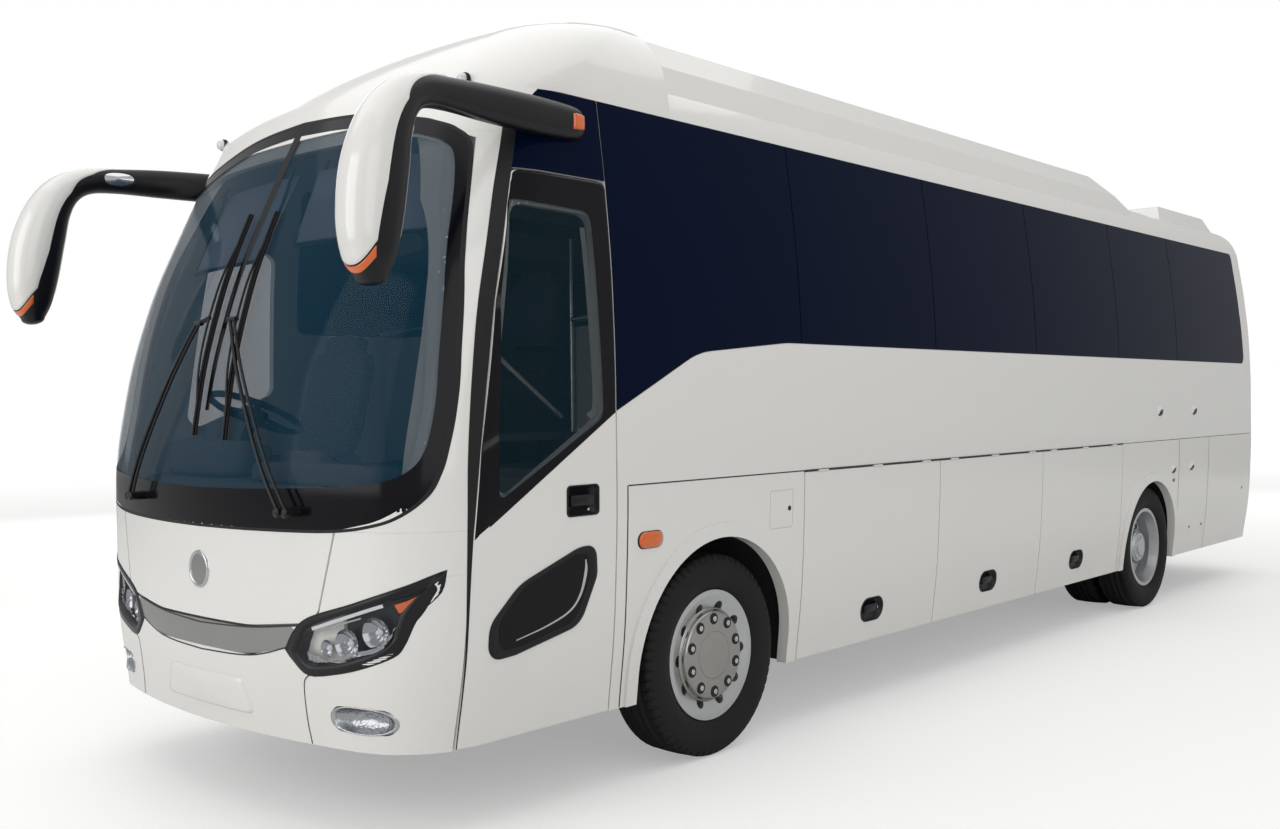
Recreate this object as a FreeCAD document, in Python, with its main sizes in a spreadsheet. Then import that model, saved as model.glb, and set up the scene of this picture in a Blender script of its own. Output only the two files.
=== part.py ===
"""A ten metre coach bus, in millimetres: +Z up, the nose towards -Y, the passenger door on the +X side.

The bus is drawn from its nose plane, with Y running back to the tail, and every piece is then moved
forward together so that the origin lies on the ground under the middle of the whole vehicle.
"""
import FreeCAD
import Part
import Sketcher
import math
import os
from FreeCAD import Vector

doc = FreeCAD.newDocument("coach_bus")

# ---------------------------------------------------------------- driving sizes
# alias, value (mm, degrees or a count), meaning
SIZES = [
    ("body_length", 9900, "nose plane to tail"),
    ("half_width", 1245, "centre line to the widest point of the side"),
    ("skirt_height", 340, "ground to the lower edge of the skirt"),
    ("locker_height", 1284, "ground to the seam above the locker doors"),
    ("belt_height", 1910, "ground to the lower edge of the side glass"),
    ("cant_height", 2895, "ground to the upper edge of the side glass"),
    ("roof_height", 3150, "ground to the flat of the roof"),
    ("wall", 45, "thickness of the side wall, lockers and door leaf"),
    ("seam", 8, "gap round the doors and lids that open"),
    ("joint", 0.4, "gap between neighbouring fixed panels"),
    ("nose_bow", 3900, "radius of the bowed front in plan"),
    ("nose_corner", 380, "radius of the front corners in plan"),
    ("tail_corner", 300, "radius of the rear corners in plan"),
    ("tail_seam", 285, "tail to the seam between the sides and the rear wall"),
    ("front_axle_y", 1903, "nose plane to the front axle"),
    ("rear_axle_y", 7250, "nose plane to the rear axle"),
    ("tyre_diameter", 930, "outside diameter of every tyre"),
    ("tyre_width", 255, "width of one tyre"),
    ("rim_diameter", 597, "over the rim's flanges"),
    ("front_track_x", 1065, "centre line to the middle of a front tyre"),
    ("rear_outer_x", 1065, "centre line to the middle of an outer rear tyre"),
    ("twin_spacing", 290, "between the middles of twin tyres"),
    ("kingpin_x", 900, "centre line to the kingpin"),
    ("arch_radius", 548, "radius of the opening of a wheel arch"),
    ("rear_arch_radius", 510, "radius of the opening of a rear wheel arch"),
    ("flare_width", 66, "width of the moulding round a wheel arch"),
    ("flare_proud", 14, "how far that moulding stands off the side"),
    ("house_depth", 610, "how far a wheel housing reaches in from the side"),
    ("glass", 6, "thickness of the bonded glass"),
    ("glass_inset", 1, "glass face below the side panels"),
    ("pane_gap", 8, "gap between neighbouring panes"),
    ("pillar", 110, "width of a window pillar behind the glass"),
    ("door_rear_y", 1198, "nose plane to the rear edge of the door"),
    ("door_top", 2552, "ground to the top of the door"),
    ("door_gap", 8, "gap round the door leaf"),
    ("door_post_y", 560, "nose plane to the door's turning post"),
    ("door_post_in", 150, "the post's axis in from the widest side"),
    ("door_arm_reach", 560, "post to the door's own pivot"),
    ("door_pivot_out", 30, "how much nearer the side that pivot lies than the post"),
    ("hold_floor", 400, "ground to the floor of the luggage hold"),
    ("floor_height", 1300, "ground to the saloon floor"),
    ("floor_thick", 50, "saloon floor"),
    ("cap_rear_y", 1665, "nose plane to the rear edge of the front roof cap"),
    ("cap_height", 3385, "ground to the top of the front roof cap"),
    ("fairing_rear_y", 7190, "nose plane to the tip of the roof fairings"),
    ("fairing_height", 3290, "ground to the top of the roof fairings"),
    ("mirror_front", 205, "how far the mirror heads reach ahead of the nose plane"),
]

sheet = doc.addObject("Spreadsheet::Sheet", "sizes")
for row, (alias, value, meaning) in enumerate(SIZES, 1):
    sheet.set(f"A{row}", meaning)
    sheet.set(f"B{row}", str(value))
    sheet.setAlias(f"B{row}", alias)
doc.recompute()


class Measure(float):
    """A length that also remembers, as an expression, how it follows from the sheet."""

    def __new__(cls, value, text):
        number = super().__new__(cls, value)
        number.text = text
        return number

    def __add__(self, other):
        return Measure(float(self) + other, f"({self.text} + {text_of(other)})")

    def __sub__(self, other):
        return Measure(float(self) - other, f"({self.text} - {text_of(other)})")

    def __mul__(self, other):
        return Measure(float(self) * other, f"({self.text} * {text_of(other)})")

    def __truediv__(self, other):
        return Measure(float(self) / other, f"({self.text} / {text_of(other)})")

    def __neg__(self):
        return Measure(-float(self), f"(-{self.text})")


def text_of(number):
    return number.text if isinstance(number, Measure) else repr(float(number))


class Sizes:
    """Reads a named size from the sheet."""

    def __getattr__(self, alias):
        return Measure(float(sheet.get(alias)), f"sizes.{alias}")


dim = Sizes()
TINY = 0.01


# ---------------------------------------------------------------- drawing helpers
def rounded(points, place):
    """A closed wire through (a, b, radius) corners, each turned into a tangent arc of its radius."""
    edges = []
    ends = []
    count = len(points)
    for i, (a, b, radius) in enumerate(points):
        here = Vector(a, b, 0)
        before = Vector(*points[i - 1][:2], 0) - here
        after = Vector(*points[(i + 1) % count][:2], 0) - here
        if radius <= 0:
            ends.append((here, None, here))
            continue
        half_turn = before.getAngle(after) / 2
        reach = radius / math.tan(half_turn)
        start = here + before.normalize() * reach
        end = here + after.normalize() * reach
        middle = (start + end) * 0.5
        toward = (middle - here).normalize()
        crown = here + toward * (radius / math.sin(half_turn) - radius)
        ends.append((start, crown, end))
    for i, (start, crown, end) in enumerate(ends):
        if crown is not None:
            edges.append(Part.Arc(place(start), place(crown), place(end)).toShape())
        following = ends[(i + 1) % count][0]
        if end.distanceToPoint(following) > TINY:
            edges.append(Part.LineSegment(place(end), place(following)).toShape())
    return Part.Wire(edges)


def side_prism(points, x0, x1):
    """An outline drawn in side view (y, z, radius), as a prism from x0 to x1."""
    wire = rounded(points, lambda p: Vector(x0, p.x, p.y))
    return Part.Face(wire).extrude(Vector(x1 - x0, 0, 0))


def front_prism(points, y0, y1):
    """An outline drawn in front view (x, z, radius), as a prism from y0 to y1."""
    wire = rounded(points, lambda p: Vector(p.x, y0, p.y))
    return Part.Face(wire).extrude(Vector(0, y1 - y0, 0))


def block(x0, x1, y0, y1, z0, z1):
    return Part.makeBox(x1 - x0, y1 - y0, z1 - z0, Vector(x0, y0, z0))


def rod(start, end, radius):
    """A round bar between two points."""
    along = end - start
    return Part.makeCylinder(radius, along.Length, start, along)


def across(shape):
    """The same piece on the other side of the centre line."""
    return shape.mirror(Vector(0, 0, 0), Vector(1, 0, 0))


def both(shape):
    """A piece and its twin across the centre line."""
    return [shape, across(shape)]


def fuse(shapes):
    """Joins shapes that overlap into one."""
    return shapes[0].fuse(shapes[1:])


def symmetric_outline(half):
    """Closes a half outline, drawn from the middle below to the middle above, with its mirror image."""
    sides = [p for p in half if p[0] > 0]
    return sides + [(-x, z, r) for x, z, r in reversed(sides)]


NODES = []


def keep(name, shape):
    """Adds a finished piece to the document under its own name."""
    if isinstance(shape, list):
        shape = shape[0] if len(shape) == 1 else Part.makeCompound(shape)
    piece = doc.addObject("Part::Feature", name)
    piece.Label = name
    piece.Shape = shape
    NODES.append(piece)
    return piece


# ---------------------------------------------------------------- body form
# Horizontal sections of the body. side: the half width drawn in from its widest;
# nose: the nose drawn back; tail: the tail drawn in; sink: share of a wall's thickness
# by which the inner face of the shell lies lower than the outer one.
BODY_SECTIONS = [
    # level,           above, side, nose, tail, sink
    ("skirt_height", 0, 66, 42, 40, 0),
    ("skirt_height", 420, 20, 6, 0, 0),
    ("locker_height", 0, 0, 8, 0, 0),
    ("belt_height", -210, 0, 66, 0, 0),
    ("belt_height", 190, 12, 178, 5, 0),
    ("cant_height", -395, 45, 350, 25, 0),
    ("cant_height", 0, 95, 545, 60, 0),
]
ROOF_SECTIONS = [
    ("cant_height", 0, 95, 545, 60, 0),
    ("roof_height", -165, 125, 625, 90, 0.3),
    ("roof_height", -100, 172, 690, 115, 0.5),
    ("roof_height", -55, 240, 765, 155, 0.7),
    ("roof_height", -25, 330, 850, 210, 0.85),
    ("roof_height", -8, 440, 940, 270, 0.95),
    ("roof_height", 0, 560, 1040, 340, 1),
]
# The front roof cap leaves the body at the cant rail and climbs to its own crown.
CAP_SECTIONS = [
    ("cant_height", 0, 95, 545, 60, 0),
    ("cap_height", -390, 103, 615, 60, 0.1),
    ("cap_height", -285, 128, 735, 60, 0.3),
    ("cap_height", -185, 180, 890, 60, 0.5),
    ("cap_height", -95, 268, 1080, 60, 0.7),
    ("cap_height", -35, 400, 1290, 60, 0.9),
    ("cap_height", 0, 640, 1480, 60, 1),
]


def plan_section(height, half, nose, corner, tail, tail_corner, bow):
    """One closed plan section: a bowed nose, tangent corners, straight sides and a square tail."""
    bow_y = nose + bow
    turn_x = half - corner
    turn_y = bow_y - math.sqrt((bow - corner) ** 2 - turn_x**2)
    stretch = bow / (bow - corner)
    meet = (turn_x * stretch, bow_y + (turn_y - bow_y) * stretch)
    middle = math.atan2(meet[1] - turn_y, meet[0] - turn_x) / 2
    crown = (turn_x + corner * math.cos(middle), turn_y + corner * math.sin(middle))
    diagonal = tail_corner * (1 - math.sqrt(0.5))
    arcs = [
        ((-meet[0], meet[1]), (0, nose), meet),
        (meet, crown, (half, turn_y)),
        ((half, turn_y), None, (half, tail - tail_corner)),
        ((half, tail - tail_corner), (half - diagonal, tail - diagonal), (half - tail_corner, tail)),
        ((half - tail_corner, tail), None, (tail_corner - half, tail)),
        ((tail_corner - half, tail), (diagonal - half, tail - diagonal), (-half, tail - tail_corner)),
        ((-half, tail - tail_corner), None, (-half, turn_y)),
        ((-half, turn_y), (-crown[0], crown[1]), (-meet[0], meet[1])),
    ]
    edges = []
    for start, mid, end in arcs:
        if mid is None:
            edges.append(Part.LineSegment(Vector(*start, height), Vector(*end, height)).toShape())
        else:
            points = [Vector(*p, height) for p in (start, mid, end)]
            edges.append(Part.Arc(*points).toShape())
    return Part.Wire(edges)


def between(rows, heights, at):
    """A monotone cubic through table rows: what each column is worth at a height between two rows."""
    last = len(rows) - 1
    i = max(k for k in range(last) if heights[k] <= at)
    run = heights[i + 1] - heights[i]
    t = (at - heights[i]) / run
    values = []
    for column in range(len(rows[0])):
        steps = []
        for k in range(i - 1, i + 2):
            inside = 0 <= k < last
            rise = rows[k + 1][column] - rows[k][column] if inside else 0
            steps.append(rise / (heights[k + 1] - heights[k]) if inside else None)
        before, here, after = steps
        slopes = []
        for first, second in ((before, here), (here, after)):
            if first is None or second is None:
                slopes.append(here)
            elif first * second <= 0:
                slopes.append(0)
            else:
                slopes.append(2 * first * second / (first + second))
        low, high = rows[i][column], rows[i + 1][column]
        value = (2 * t**3 - 3 * t**2 + 1) * low + (3 * t**2 - 2 * t**3) * high
        value += (t**3 - 2 * t**2 + t) * run * slopes[0] + (t**3 - t**2) * run * slopes[1]
        values.append(value)
    return values


SECTION_SPACING = 150


def filled_in(sections):
    """The table's sections with more between them, so that the skin follows them without swinging."""
    heights = [float(getattr(dim, row[0]) + row[1]) for row in sections]
    rows = [[float(v) for v in row[2:]] for row in sections]
    dense = []
    for low, high in zip(heights[:-1], heights[1:]):
        parts = max(1, round((high - low) / SECTION_SPACING))
        dense += [low + (high - low) * k / parts for k in range(parts)]
    return [(at, *between(rows, heights, at)) for at in dense] + [(heights[-1], *rows[-1])]


def loft(rows, inset):
    """A solid through plan sections, its sides moved in by inset."""
    wires = []
    for height, side, nose, tail, sink in rows:
        half = dim.half_width - side - inset
        back = dim.body_length - tail - inset
        level = height - sink * inset
        corners = (dim.nose_corner - inset, back, dim.tail_corner - inset, dim.nose_bow - inset)
        wires.append(plan_section(level, half, nose + inset, *corners))
    return Part.makeLoft(wires, True, False)


hulls_made = {}


def hull(inset, crown=ROOF_SECTIONS, below=0):
    """The body as one solid, its faces moved in by inset; below carries it on under the skirt."""
    key = (float(inset), crown[-1][0], below)
    if key not in hulls_made:
        lower = filled_in(BODY_SECTIONS)
        lower[0] = (lower[0][0] - below, *lower[0][1:])
        upper = [(float(getattr(dim, row[0]) + row[1]), *row[2:]) for row in crown]
        hulls_made[key] = loft(lower, inset).fuse(loft(upper, inset))
    return hulls_made[key]


locker_z = dim.locker_height
skirt_z = dim.skirt_height
belt_z = dim.belt_height
cant_z = dim.cant_height
tail_y = dim.body_length - dim.tail_seam
cap_rear_y = dim.cap_rear_y
roof_z = dim.roof_height
gap = dim.seam / 2
front_axle_y = dim.front_axle_y
rear_axle_y = dim.rear_axle_y
hub_z = dim.tyre_diameter / 2

joint = dim.joint / 2
FAR = 5000
UNDER = 80
SEAT = 0.3
outer = hull(0)
inner = hull(dim.wall, below=UNDER)
shell = outer.cut(inner)
lining = hull(dim.wall + SEAT, below=UNDER)
glass_back = dim.glass_inset + dim.glass
glass_skin = hull(dim.glass_inset).cut(hull(glass_back, below=UNDER))
glass_seat = hull(glass_back + SEAT, below=UNDER)
cap_shell = hull(0, CAP_SECTIONS).cut(hull(dim.wall, CAP_SECTIONS, below=UNDER))
rooted = hull(dim.wall - 10, below=UNDER)
front_region = block(-FAR, FAR, -1000, cap_rear_y + 50, 0, FAR)
left_region = block(600, FAR, 0, 2 * FAR, 0, FAR)
tail_region = block(-FAR, FAR, tail_y, 3 * FAR, 0, FAR)
front_shell = shell.common(front_region)
front_seat = glass_seat.common(front_region)
front_glass = glass_skin.common(front_region)
left_shell = shell.common(left_region)
left_seat = glass_seat.common(left_region)
left_glass = glass_skin.common(left_region)
tail_shell = shell.common(tail_region)
cap_shell = cap_shell.common(front_region)

# ---------------------------------------------------------------- outlines of the panels
# The edge between the front mask and the sides: (y, z), leaning back beside the screen.
MASK_EDGE = [(370, 200), (389, 618), (412, 1114), (451, 1463), (544, 2024), (669, 2490), (735, 2702)]
PILLAR_TOP = MASK_EDGE[-1][1]
ARCH_PANEL_FRONT = 1260
LOCKER_SEAMS = [2553, 3913, 5275, 6627]
REAR_PANEL_SEAM = 7800
WINDOW_SEAMS = [1198, 2545, 3885, 5200, 6580, 7780]
GLASS_END = (9398, 9466)  # y of the glazing's rear edge, top and bottom

mask_outline = [(-100, 200, 0)] + [(y, z, 0) for y, z in MASK_EDGE] + [(-100, PILLAR_TOP, 0)]
mask_zone = side_prism(mask_outline, -FAR, FAR)
mask = front_shell.common(mask_zone)


def band_outline(front_edge, inset=0):
    """The dark glazing in side view, from its swept front corner back to its rear edge."""
    return front_edge + [
        (880, cant_z - inset, 0),
        (GLASS_END[0] - inset, cant_z - inset, 60),
        (GLASS_END[1] - inset, belt_z + inset, 70),
        (2420, belt_z + inset, 900),
        (1740, 1850 + inset, 500),
        (1198, 1597 + inset, 0),
    ]


# ---------------------------------------------------------------- side walls
def wall_outline(front):
    """The side wall in side view above the lockers, with the narrow strip ahead of the front wheel."""
    strip = ARCH_PANEL_FRONT
    low = locker_z
    back = tail_y - joint
    return front + [(strip, skirt_z - 20, 0), (strip, low, 0), (back, low, 0), (back, cant_z - joint * 2, 0)]


# The left wall's front edge runs over and behind the door; the right wall's follows the mask down.
swept_corner = [(880, cant_z - joint * 2, 0), (760, 2775, 60)]
round_door = [(737, PILLAR_TOP, 0), (700, dim.door_top, 0), (dim.door_rear_y, dim.door_top, 0)]
round_door.append((dim.door_rear_y, skirt_z - 20, 0))
left_zone = side_prism(wall_outline(swept_corner + round_door), 0, FAR)
beside_mask = [(y + 1, z, 0) for y, z in reversed(MASK_EDGE)]
right_zone = side_prism(wall_outline(swept_corner + beside_mask), -FAR, 0)

band_front = [(y + 1, z, 0) for y, z in MASK_EDGE[2:]] + [(760, 2775, 60)]
band = side_prism(band_outline(band_front), 0, FAR)
band_step = band.cut(left_seat)


def rounded_box(a0, a1, b0, b1, radius):
    """The four corners of a rectangle in side or front view, each with the same radius."""
    return [(a0, b0, radius), (a1, b0, radius), (a1, b1, radius), (a0, b1, radius)]


def window_openings():
    """The openings through one side wall: one between each pair of pillars."""
    window_top = 2800
    cuts = []
    edges = WINDOW_SEAMS + [GLASS_END[0] - 60]
    for first, last in zip(edges[:-1], edges[1:]):
        low = belt_z + (110 if first < 2000 else 70)
        y0 = first + dim.pillar / 2
        y1 = last - dim.pillar / 2
        cuts.append(side_prism(rounded_box(y0, y1, low, window_top, 60), 600, FAR))
    return cuts


driver_window = side_prism([(600, 1500, 60), (1110, 1700, 60), (1110, 2440, 60), (740, 2440, 60)], 600, FAR)
openings = window_openings()
left_wall = left_shell.common(left_zone).cut([band_step] + openings)
right_wall = across(left_shell).common(right_zone)
right_wall = right_wall.cut([across(cutter) for cutter in [band_step, driver_window] + openings])
PIN = 3  # radius of a hinge's pin
BARREL = 5.5  # radius of its knuckles
HINGE_LENGTH = 90
hinge_x = dim.half_width
hinge_z = locker_z - dim.seam / 2


def hinge_places(first, last):
    """Where the three hinges of a locker door start along its length."""
    return [first + (last - first) * share - HINGE_LENGTH / 2 for share in (0.12, 0.5, 0.88)]


wall_hinges = []
hinge_rooms = []
for first, last in zip(LOCKER_SEAMS[:-1], LOCKER_SEAMS[1:]):
    for start in hinge_places(first, last):
        pin = rod(Vector(hinge_x, start, hinge_z), Vector(hinge_x, start + HINGE_LENGTH, hinge_z), PIN)
        knuckles = [rod(Vector(hinge_x, y, hinge_z), Vector(hinge_x, y + HINGE_LENGTH / 3, hinge_z), BARREL)
                    for y in (start, start + HINGE_LENGTH * 2 / 3)]
        leaves = [block(hinge_x - 12, hinge_x + 2, y, y + HINGE_LENGTH / 3, hinge_z + 2, hinge_z + 6)
                  for y in (start, start + HINGE_LENGTH * 2 / 3)]
        wall_hinges += [pin] + knuckles + leaves
        ends = [Vector(hinge_x, start + reach, hinge_z) for reach in (-1, HINGE_LENGTH + 1)]
        hinge_rooms.append(rod(*ends, BARREL + 1))
left_wall = fuse([left_wall.cut(hinge_rooms)] + wall_hinges)
right_wall = right_wall.cut([across(room) for room in hinge_rooms])
right_wall = fuse([right_wall] + [across(hinge) for hinge in wall_hinges])
keep("side_wall_left", left_wall)
keep("side_wall_right", right_wall)

# ---------------------------------------------------------------- bonded side glass
half_gap = dim.pane_gap / 2
pane_edges = WINDOW_SEAMS + [GLASS_END[1] + 100]
band_panes = left_glass.common(side_prism(band_outline(band_front, 2), 0, FAR))
panes = []
for first, last in zip(pane_edges[:-1], pane_edges[1:]):
    panes.append(band_panes.common(block(600, FAR, first + half_gap, last - half_gap, 1000, 3000)))
over_door = block(600, FAR, 300, dim.door_rear_y - half_gap, dim.door_top + 2, 3000)
left_panes = [band_panes.common(over_door)] + panes
beside_driver = block(600, FAR, 300, dim.door_rear_y - half_gap, 1000, 3000)
right_panes = [across(p) for p in [band_panes.common(beside_driver)] + panes]
keep("side_glass", left_panes + right_panes)


# ---------------------------------------------------------------- roof
keep("roof_shell", shell.common(block(-FAR, FAR, cap_rear_y + joint, 3 * FAR, cant_z, FAR)))

# The windscreen: its outline from ahead, cut off at the sides by the edge of the corner pillars.
SCREEN_HALF = [
    (0, 1150, 0),
    (800, 1160, 900),
    (1090, 1220, 300),
    (1195, 1375, 200),
    (1400, 1800, 0),
    (1400, 2500, 0),
    (1140, 2640, 250),
    (750, 2790, 900),
    (0, 2878, 0),
]
SCREEN_EDGE = [(190, 1000), (329, 1463), (365, 1613), (391, 1790), (440, 2072), (532, 2430), (637, 2714)]


def screen(inset):
    """The windscreen's outline as a solid through the front, drawn in by inset all round."""
    low = [(x, z + inset, r) for x, z, r in SCREEN_HALF[:3]]
    high = [(x, z - inset, r) for x, z, r in SCREEN_HALF[6:]]
    ahead = front_prism(symmetric_outline(low + SCREEN_HALF[3:6] + high), -500, 1500)
    side = [(-600, 1000, 0)] + [(y - inset, z, 0) for y, z in SCREEN_EDGE] + [(700 - inset, 2950, 0)]
    return ahead.common(side_prism(side + [(-600, 2950, 0)], -FAR, FAR))


screen_step = screen(0)
screen_hole = screen(65)
screen_rebate = screen_step.cut(front_seat)
keep("windscreen", front_glass.common(screen(3)))

cap_zone = side_prism(
    [(-100, PILLAR_TOP + joint, 0), (736, PILLAR_TOP + joint, 0), (759.6, 2775, 60), (879.7, cant_z, 0)]
    + [(cap_rear_y - joint, cant_z, 0), (cap_rear_y - joint, 3600, 0), (-100, 3600, 0)],
    -FAR,
    FAR,
)
cap_back = hull(10, CAP_SECTIONS).common(block(-FAR, FAR, cap_rear_y - 44, cap_rear_y - joint, 3000, FAR))
cap = cap_shell.common(cap_zone).cut([screen_rebate, screen_hole])
keep("front_roof_cap", fuse([cap, cap_back.cut(inner)]))

fairing_z = dim.fairing_height
FAIRING_WALL = 12
fairing_section = [(1105, 2980), (1070, 3150), (1000, fairing_z - 20)]
fairing_section += [(920, fairing_z), (750, fairing_z), (690, 3080)]
fairing_inside = [(1090, 2940), (1056, 3142), (990, fairing_z - 32)]
fairing_inside += [(916, fairing_z - FAIRING_WALL), (760, fairing_z - FAIRING_WALL), (705, 3040)]


def roof_fairing(section, drop):
    """The fairing over one side of the roof; drop is 0 outside and the wall's thickness inside."""
    front = cap_rear_y + (drop if drop else SEAT)
    solid = front_prism([(x, z, 0) for x, z in section], front, dim.fairing_rear_y + 100)
    slope = [(cap_rear_y - 50, 2900, 0), (cap_rear_y - 50, 3400, 0), (6300, 3400, 0), (6560, 3296 - drop, 400)]
    slope += [(dim.fairing_rear_y - drop, 3060, 0), (dim.fairing_rear_y, 2900, 0)]
    return solid.common(side_prism(slope, 0, FAR))


fairing = roof_fairing(fairing_section, 0).cut(roof_fairing(fairing_inside, FAIRING_WALL)).cut(outer)
keep("roof_fairings", both(fairing))

unit = side_prism([(2600, roof_z, 0), (2700, 3330, 90), (5500, 3330, 90), (5600, roof_z, 0)], -660, 660)
keep("air_conditioner", unit)
tail_cap = side_prism([(8050, 3000, 0), (8150, 3215, 60), (9250, 3215, 100), (9480, 3000, 0)], -1100, 1100)
tail_cap_ends = [(-1030, 2990, 0), (1030, 2990, 0), (950, 3230, 0), (-950, 3230, 0)]
keep("rear_roof_cap", tail_cap.common(front_prism(tail_cap_ends, 8000, 9600)).cut(outer))
hatch_top = roof_z + 45
hatch_ends = [(-330, roof_z, 0), (330, roof_z, 0), (310, hatch_top, 20), (-310, hatch_top, 20)]
keep("roof_hatch", front_prism(hatch_ends, 6250, 6850))

# ---------------------------------------------------------------- front mask
LID_TOP = 1166
LID_FOOT = 843
STRIP_HALF = [(0, 640, 0), (350, 656, 900), (600, 716, 40), (640, 796, 30), (350, 765, 900), (0, 750, 0)]


def lid_outline(grow):
    """The front lid from ahead, its lower edge along the silver strip; grow leaves its shut gap."""
    half = [(0, 760 - grow, 0), (350, 775 - grow, 900), (655, 808 - grow, 60)]
    half += [(735 + grow, LID_FOOT, 60), (822 + grow, LID_TOP, 0)]
    return front_prism(symmetric_outline(half), -200, 400)


LAMP_OUTLINE = [(584, 700, 15), (691, 620, 60), (800, 648, 300), (1050, 715, 300), (1150, 870, 200),
                (1205, 1020, 30), (1083, 958, 300), (680, 810, 200)]


def lamp_zone(shrink):
    """The headlamp's outline from ahead, made smaller by shrink towards its middle."""
    middle_x = sum(p[0] for p in LAMP_OUTLINE) / len(LAMP_OUTLINE)
    middle_z = sum(p[1] for p in LAMP_OUTLINE) / len(LAMP_OUTLINE)
    width = max(p[0] for p in LAMP_OUTLINE) - min(p[0] for p in LAMP_OUTLINE)
    share = 1 - 2 * shrink / width
    points = []
    for x, z, radius in LAMP_OUTLINE:
        points.append((middle_x + (x - middle_x) * share, middle_z + (z - middle_z) * share, radius))
    return front_prism(points, -200, 700)


def strip_zone(shrink):
    """The silver strip's outline from ahead, drawn in by shrink."""
    half = []
    for number, (x, z, radius) in enumerate(STRIP_HALF):
        rise = shrink if number < 3 else -shrink
        half.append((x - 2 * shrink if x > 500 else x, z + rise, radius))
    return front_prism(symmetric_outline(half), -200, 400)


# The bumper's upper edge runs under the strip and the headlamps, and round to the door.
BUMPER_TOP = [(0, 640), (350, 656), (600, 716), (640, 740), (1083, 940), (1190, 1000), (1400, 1035)]
bumper_half = [(1400, 200, 0)] + [(x, z, 0) for x, z in reversed(BUMPER_TOP[1:])]
bumper_zone = front_prism(symmetric_outline(bumper_half), -200, 700)

frame_zone = mask_zone.common(block(-FAR, FAR, -FAR, FAR, LID_TOP + joint, FAR))
screen_frame = front_shell.common(frame_zone).cut([screen_rebate, screen_hole])
hangers = []
for x in (-640, 640):
    hanger = block(x - 6, x + 6, 0, 170, 1070, 1250).common(rooted)
    hanger = hanger.cut(block(x - 7, x + 7, 0, 90, 1000, LID_TOP + 6))
    hangers.append(hanger.cut(rod(Vector(x - 30, 150, 1090), Vector(x + 30, 150, 1090), 12)))
keep("windscreen_frame", fuse([screen_frame] + hangers))

lower_mask = mask.common(block(-FAR, FAR, -FAR, FAR, 0, LID_TOP - joint))
thin = outer.common(front_region).cut(hull(22))
# The lid hangs on two arms that swing forward and up while it stays upright.
LID_ARM_X = 600
lid_pivot = Vector(0, 150, 1090)
lid_reach = 200
lid_root = hull(14)
lid = thin.common(lid_outline(0).common(block(-FAR, FAR, -FAR, FAR, 0, LID_TOP - dim.seam)))
low_pivot = lid_pivot - Vector(0, 0, lid_reach)
for x in (-LID_ARM_X, LID_ARM_X):
    ear = block(x - 34, x - 22, 0, 165, low_pivot.z - 15, low_pivot.z + 15).common(lid_root)
    lid = lid.fuse(ear.cut(rod(low_pivot + Vector(x - 60, 0, 0), low_pivot + Vector(x, 0, 0), 8)))
keep("front_lid", lid)
bar = rod(Vector(-660, lid_pivot.y, lid_pivot.z), Vector(660, lid_pivot.y, lid_pivot.z), 11.95)
arms_of_lid = [bar]
for x in (-LID_ARM_X, LID_ARM_X):
    low = low_pivot + Vector(x, 0, 0)
    arms_of_lid.append(block(x - 8, x + 8, low.y - 15, low.y + 15, low.z - 15, lid_pivot.z + 15))
    arms_of_lid.append(rod(low, low - Vector(36, 0, 0), 7.95))
keep("front_lid_arms", fuse(arms_of_lid))


FOG_LAMP = (914, 460)
FOG_HALF = (137, 49)


def fog_zone(shrink):
    """The left fog lamp's oval from ahead, drawn in by shrink."""
    reach, rise = (half - shrink for half in FOG_HALF)
    x, z = FOG_LAMP
    return front_prism(rounded_box(x - reach, x + reach, z - rise, z + rise, 48 - shrink), -200, 400)


fog_holes = both(fog_zone(0))
lamp_zones = both(lamp_zone(0))
bumper_seam = bumper_zone.copy()
bumper_seam.translate(Vector(0, 0, -2 * joint))
between_them = [(0, 700, 0), (600, 745, 0), (600, 815, 0), (0, 790, 0)]
strip_to_lid = front_prism(symmetric_outline(between_them), -200, 400)
panels = lower_mask.cut([lid_outline(10), bumper_zone, strip_zone(0), strip_to_lid] + lamp_zones)
bumper = lower_mask.common(bumper_seam).cut([strip_zone(0)] + lamp_zones + fog_holes)
# A rib behind the lid's foot is bonded to both corner panels and carries the strip between them.
rib_half = [(0, 660, 0), (820, 660, 0), (820, 920, 0), (768, 920, 0), (756, 862, 0), (0, 862, 0)]
rib = front_prism(symmetric_outline(rib_half), -200, 400)
rib = rib.common(hull(dim.wall + SEAT)).cut(hull(dim.wall + 20))
CRUMB = 100000  # offcuts between the strip and the lamps are smaller than this, in cubic millimetres
corner_panels = [panel for panel in panels.Solids if panel.Volume > CRUMB]
keep("front_corner_panels", corner_panels + [rib])
bumper_arms = [block(x, x + 80, 0, 250, 500, 600).common(rooted) for x in (-480, 200)]
keep("front_bumper", fuse([bumper] + bumper_arms))
keep("trim_strip", mask.common(strip_zone(SEAT)))
fog = mask.common(fog_zone(SEAT))
keep("front_lamps", both(mask.common(lamp_zone(SEAT))) + both(fog))

# ---------------------------------------------------------------- lower sides
def arch_cut(axle_y, radius, leg):
    """A wheel arch in side view: a half round opening with legs down to the skirt."""
    foot = [(axle_y - leg, 200, 0), (axle_y + leg, 200, 0), (axle_y + leg, skirt_z + 60, 60)]
    opening = side_prism(foot + [(axle_y - leg, skirt_z + 60, 60)], -FAR, FAR)
    disc = Part.makeCylinder(radius, 2 * FAR, Vector(-FAR, axle_y, hub_z), Vector(1, 0, 0))
    below = block(-FAR, FAR, axle_y - radius, axle_y + radius, 200, hub_z)
    return disc.fuse(below).fuse(opening)


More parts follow.
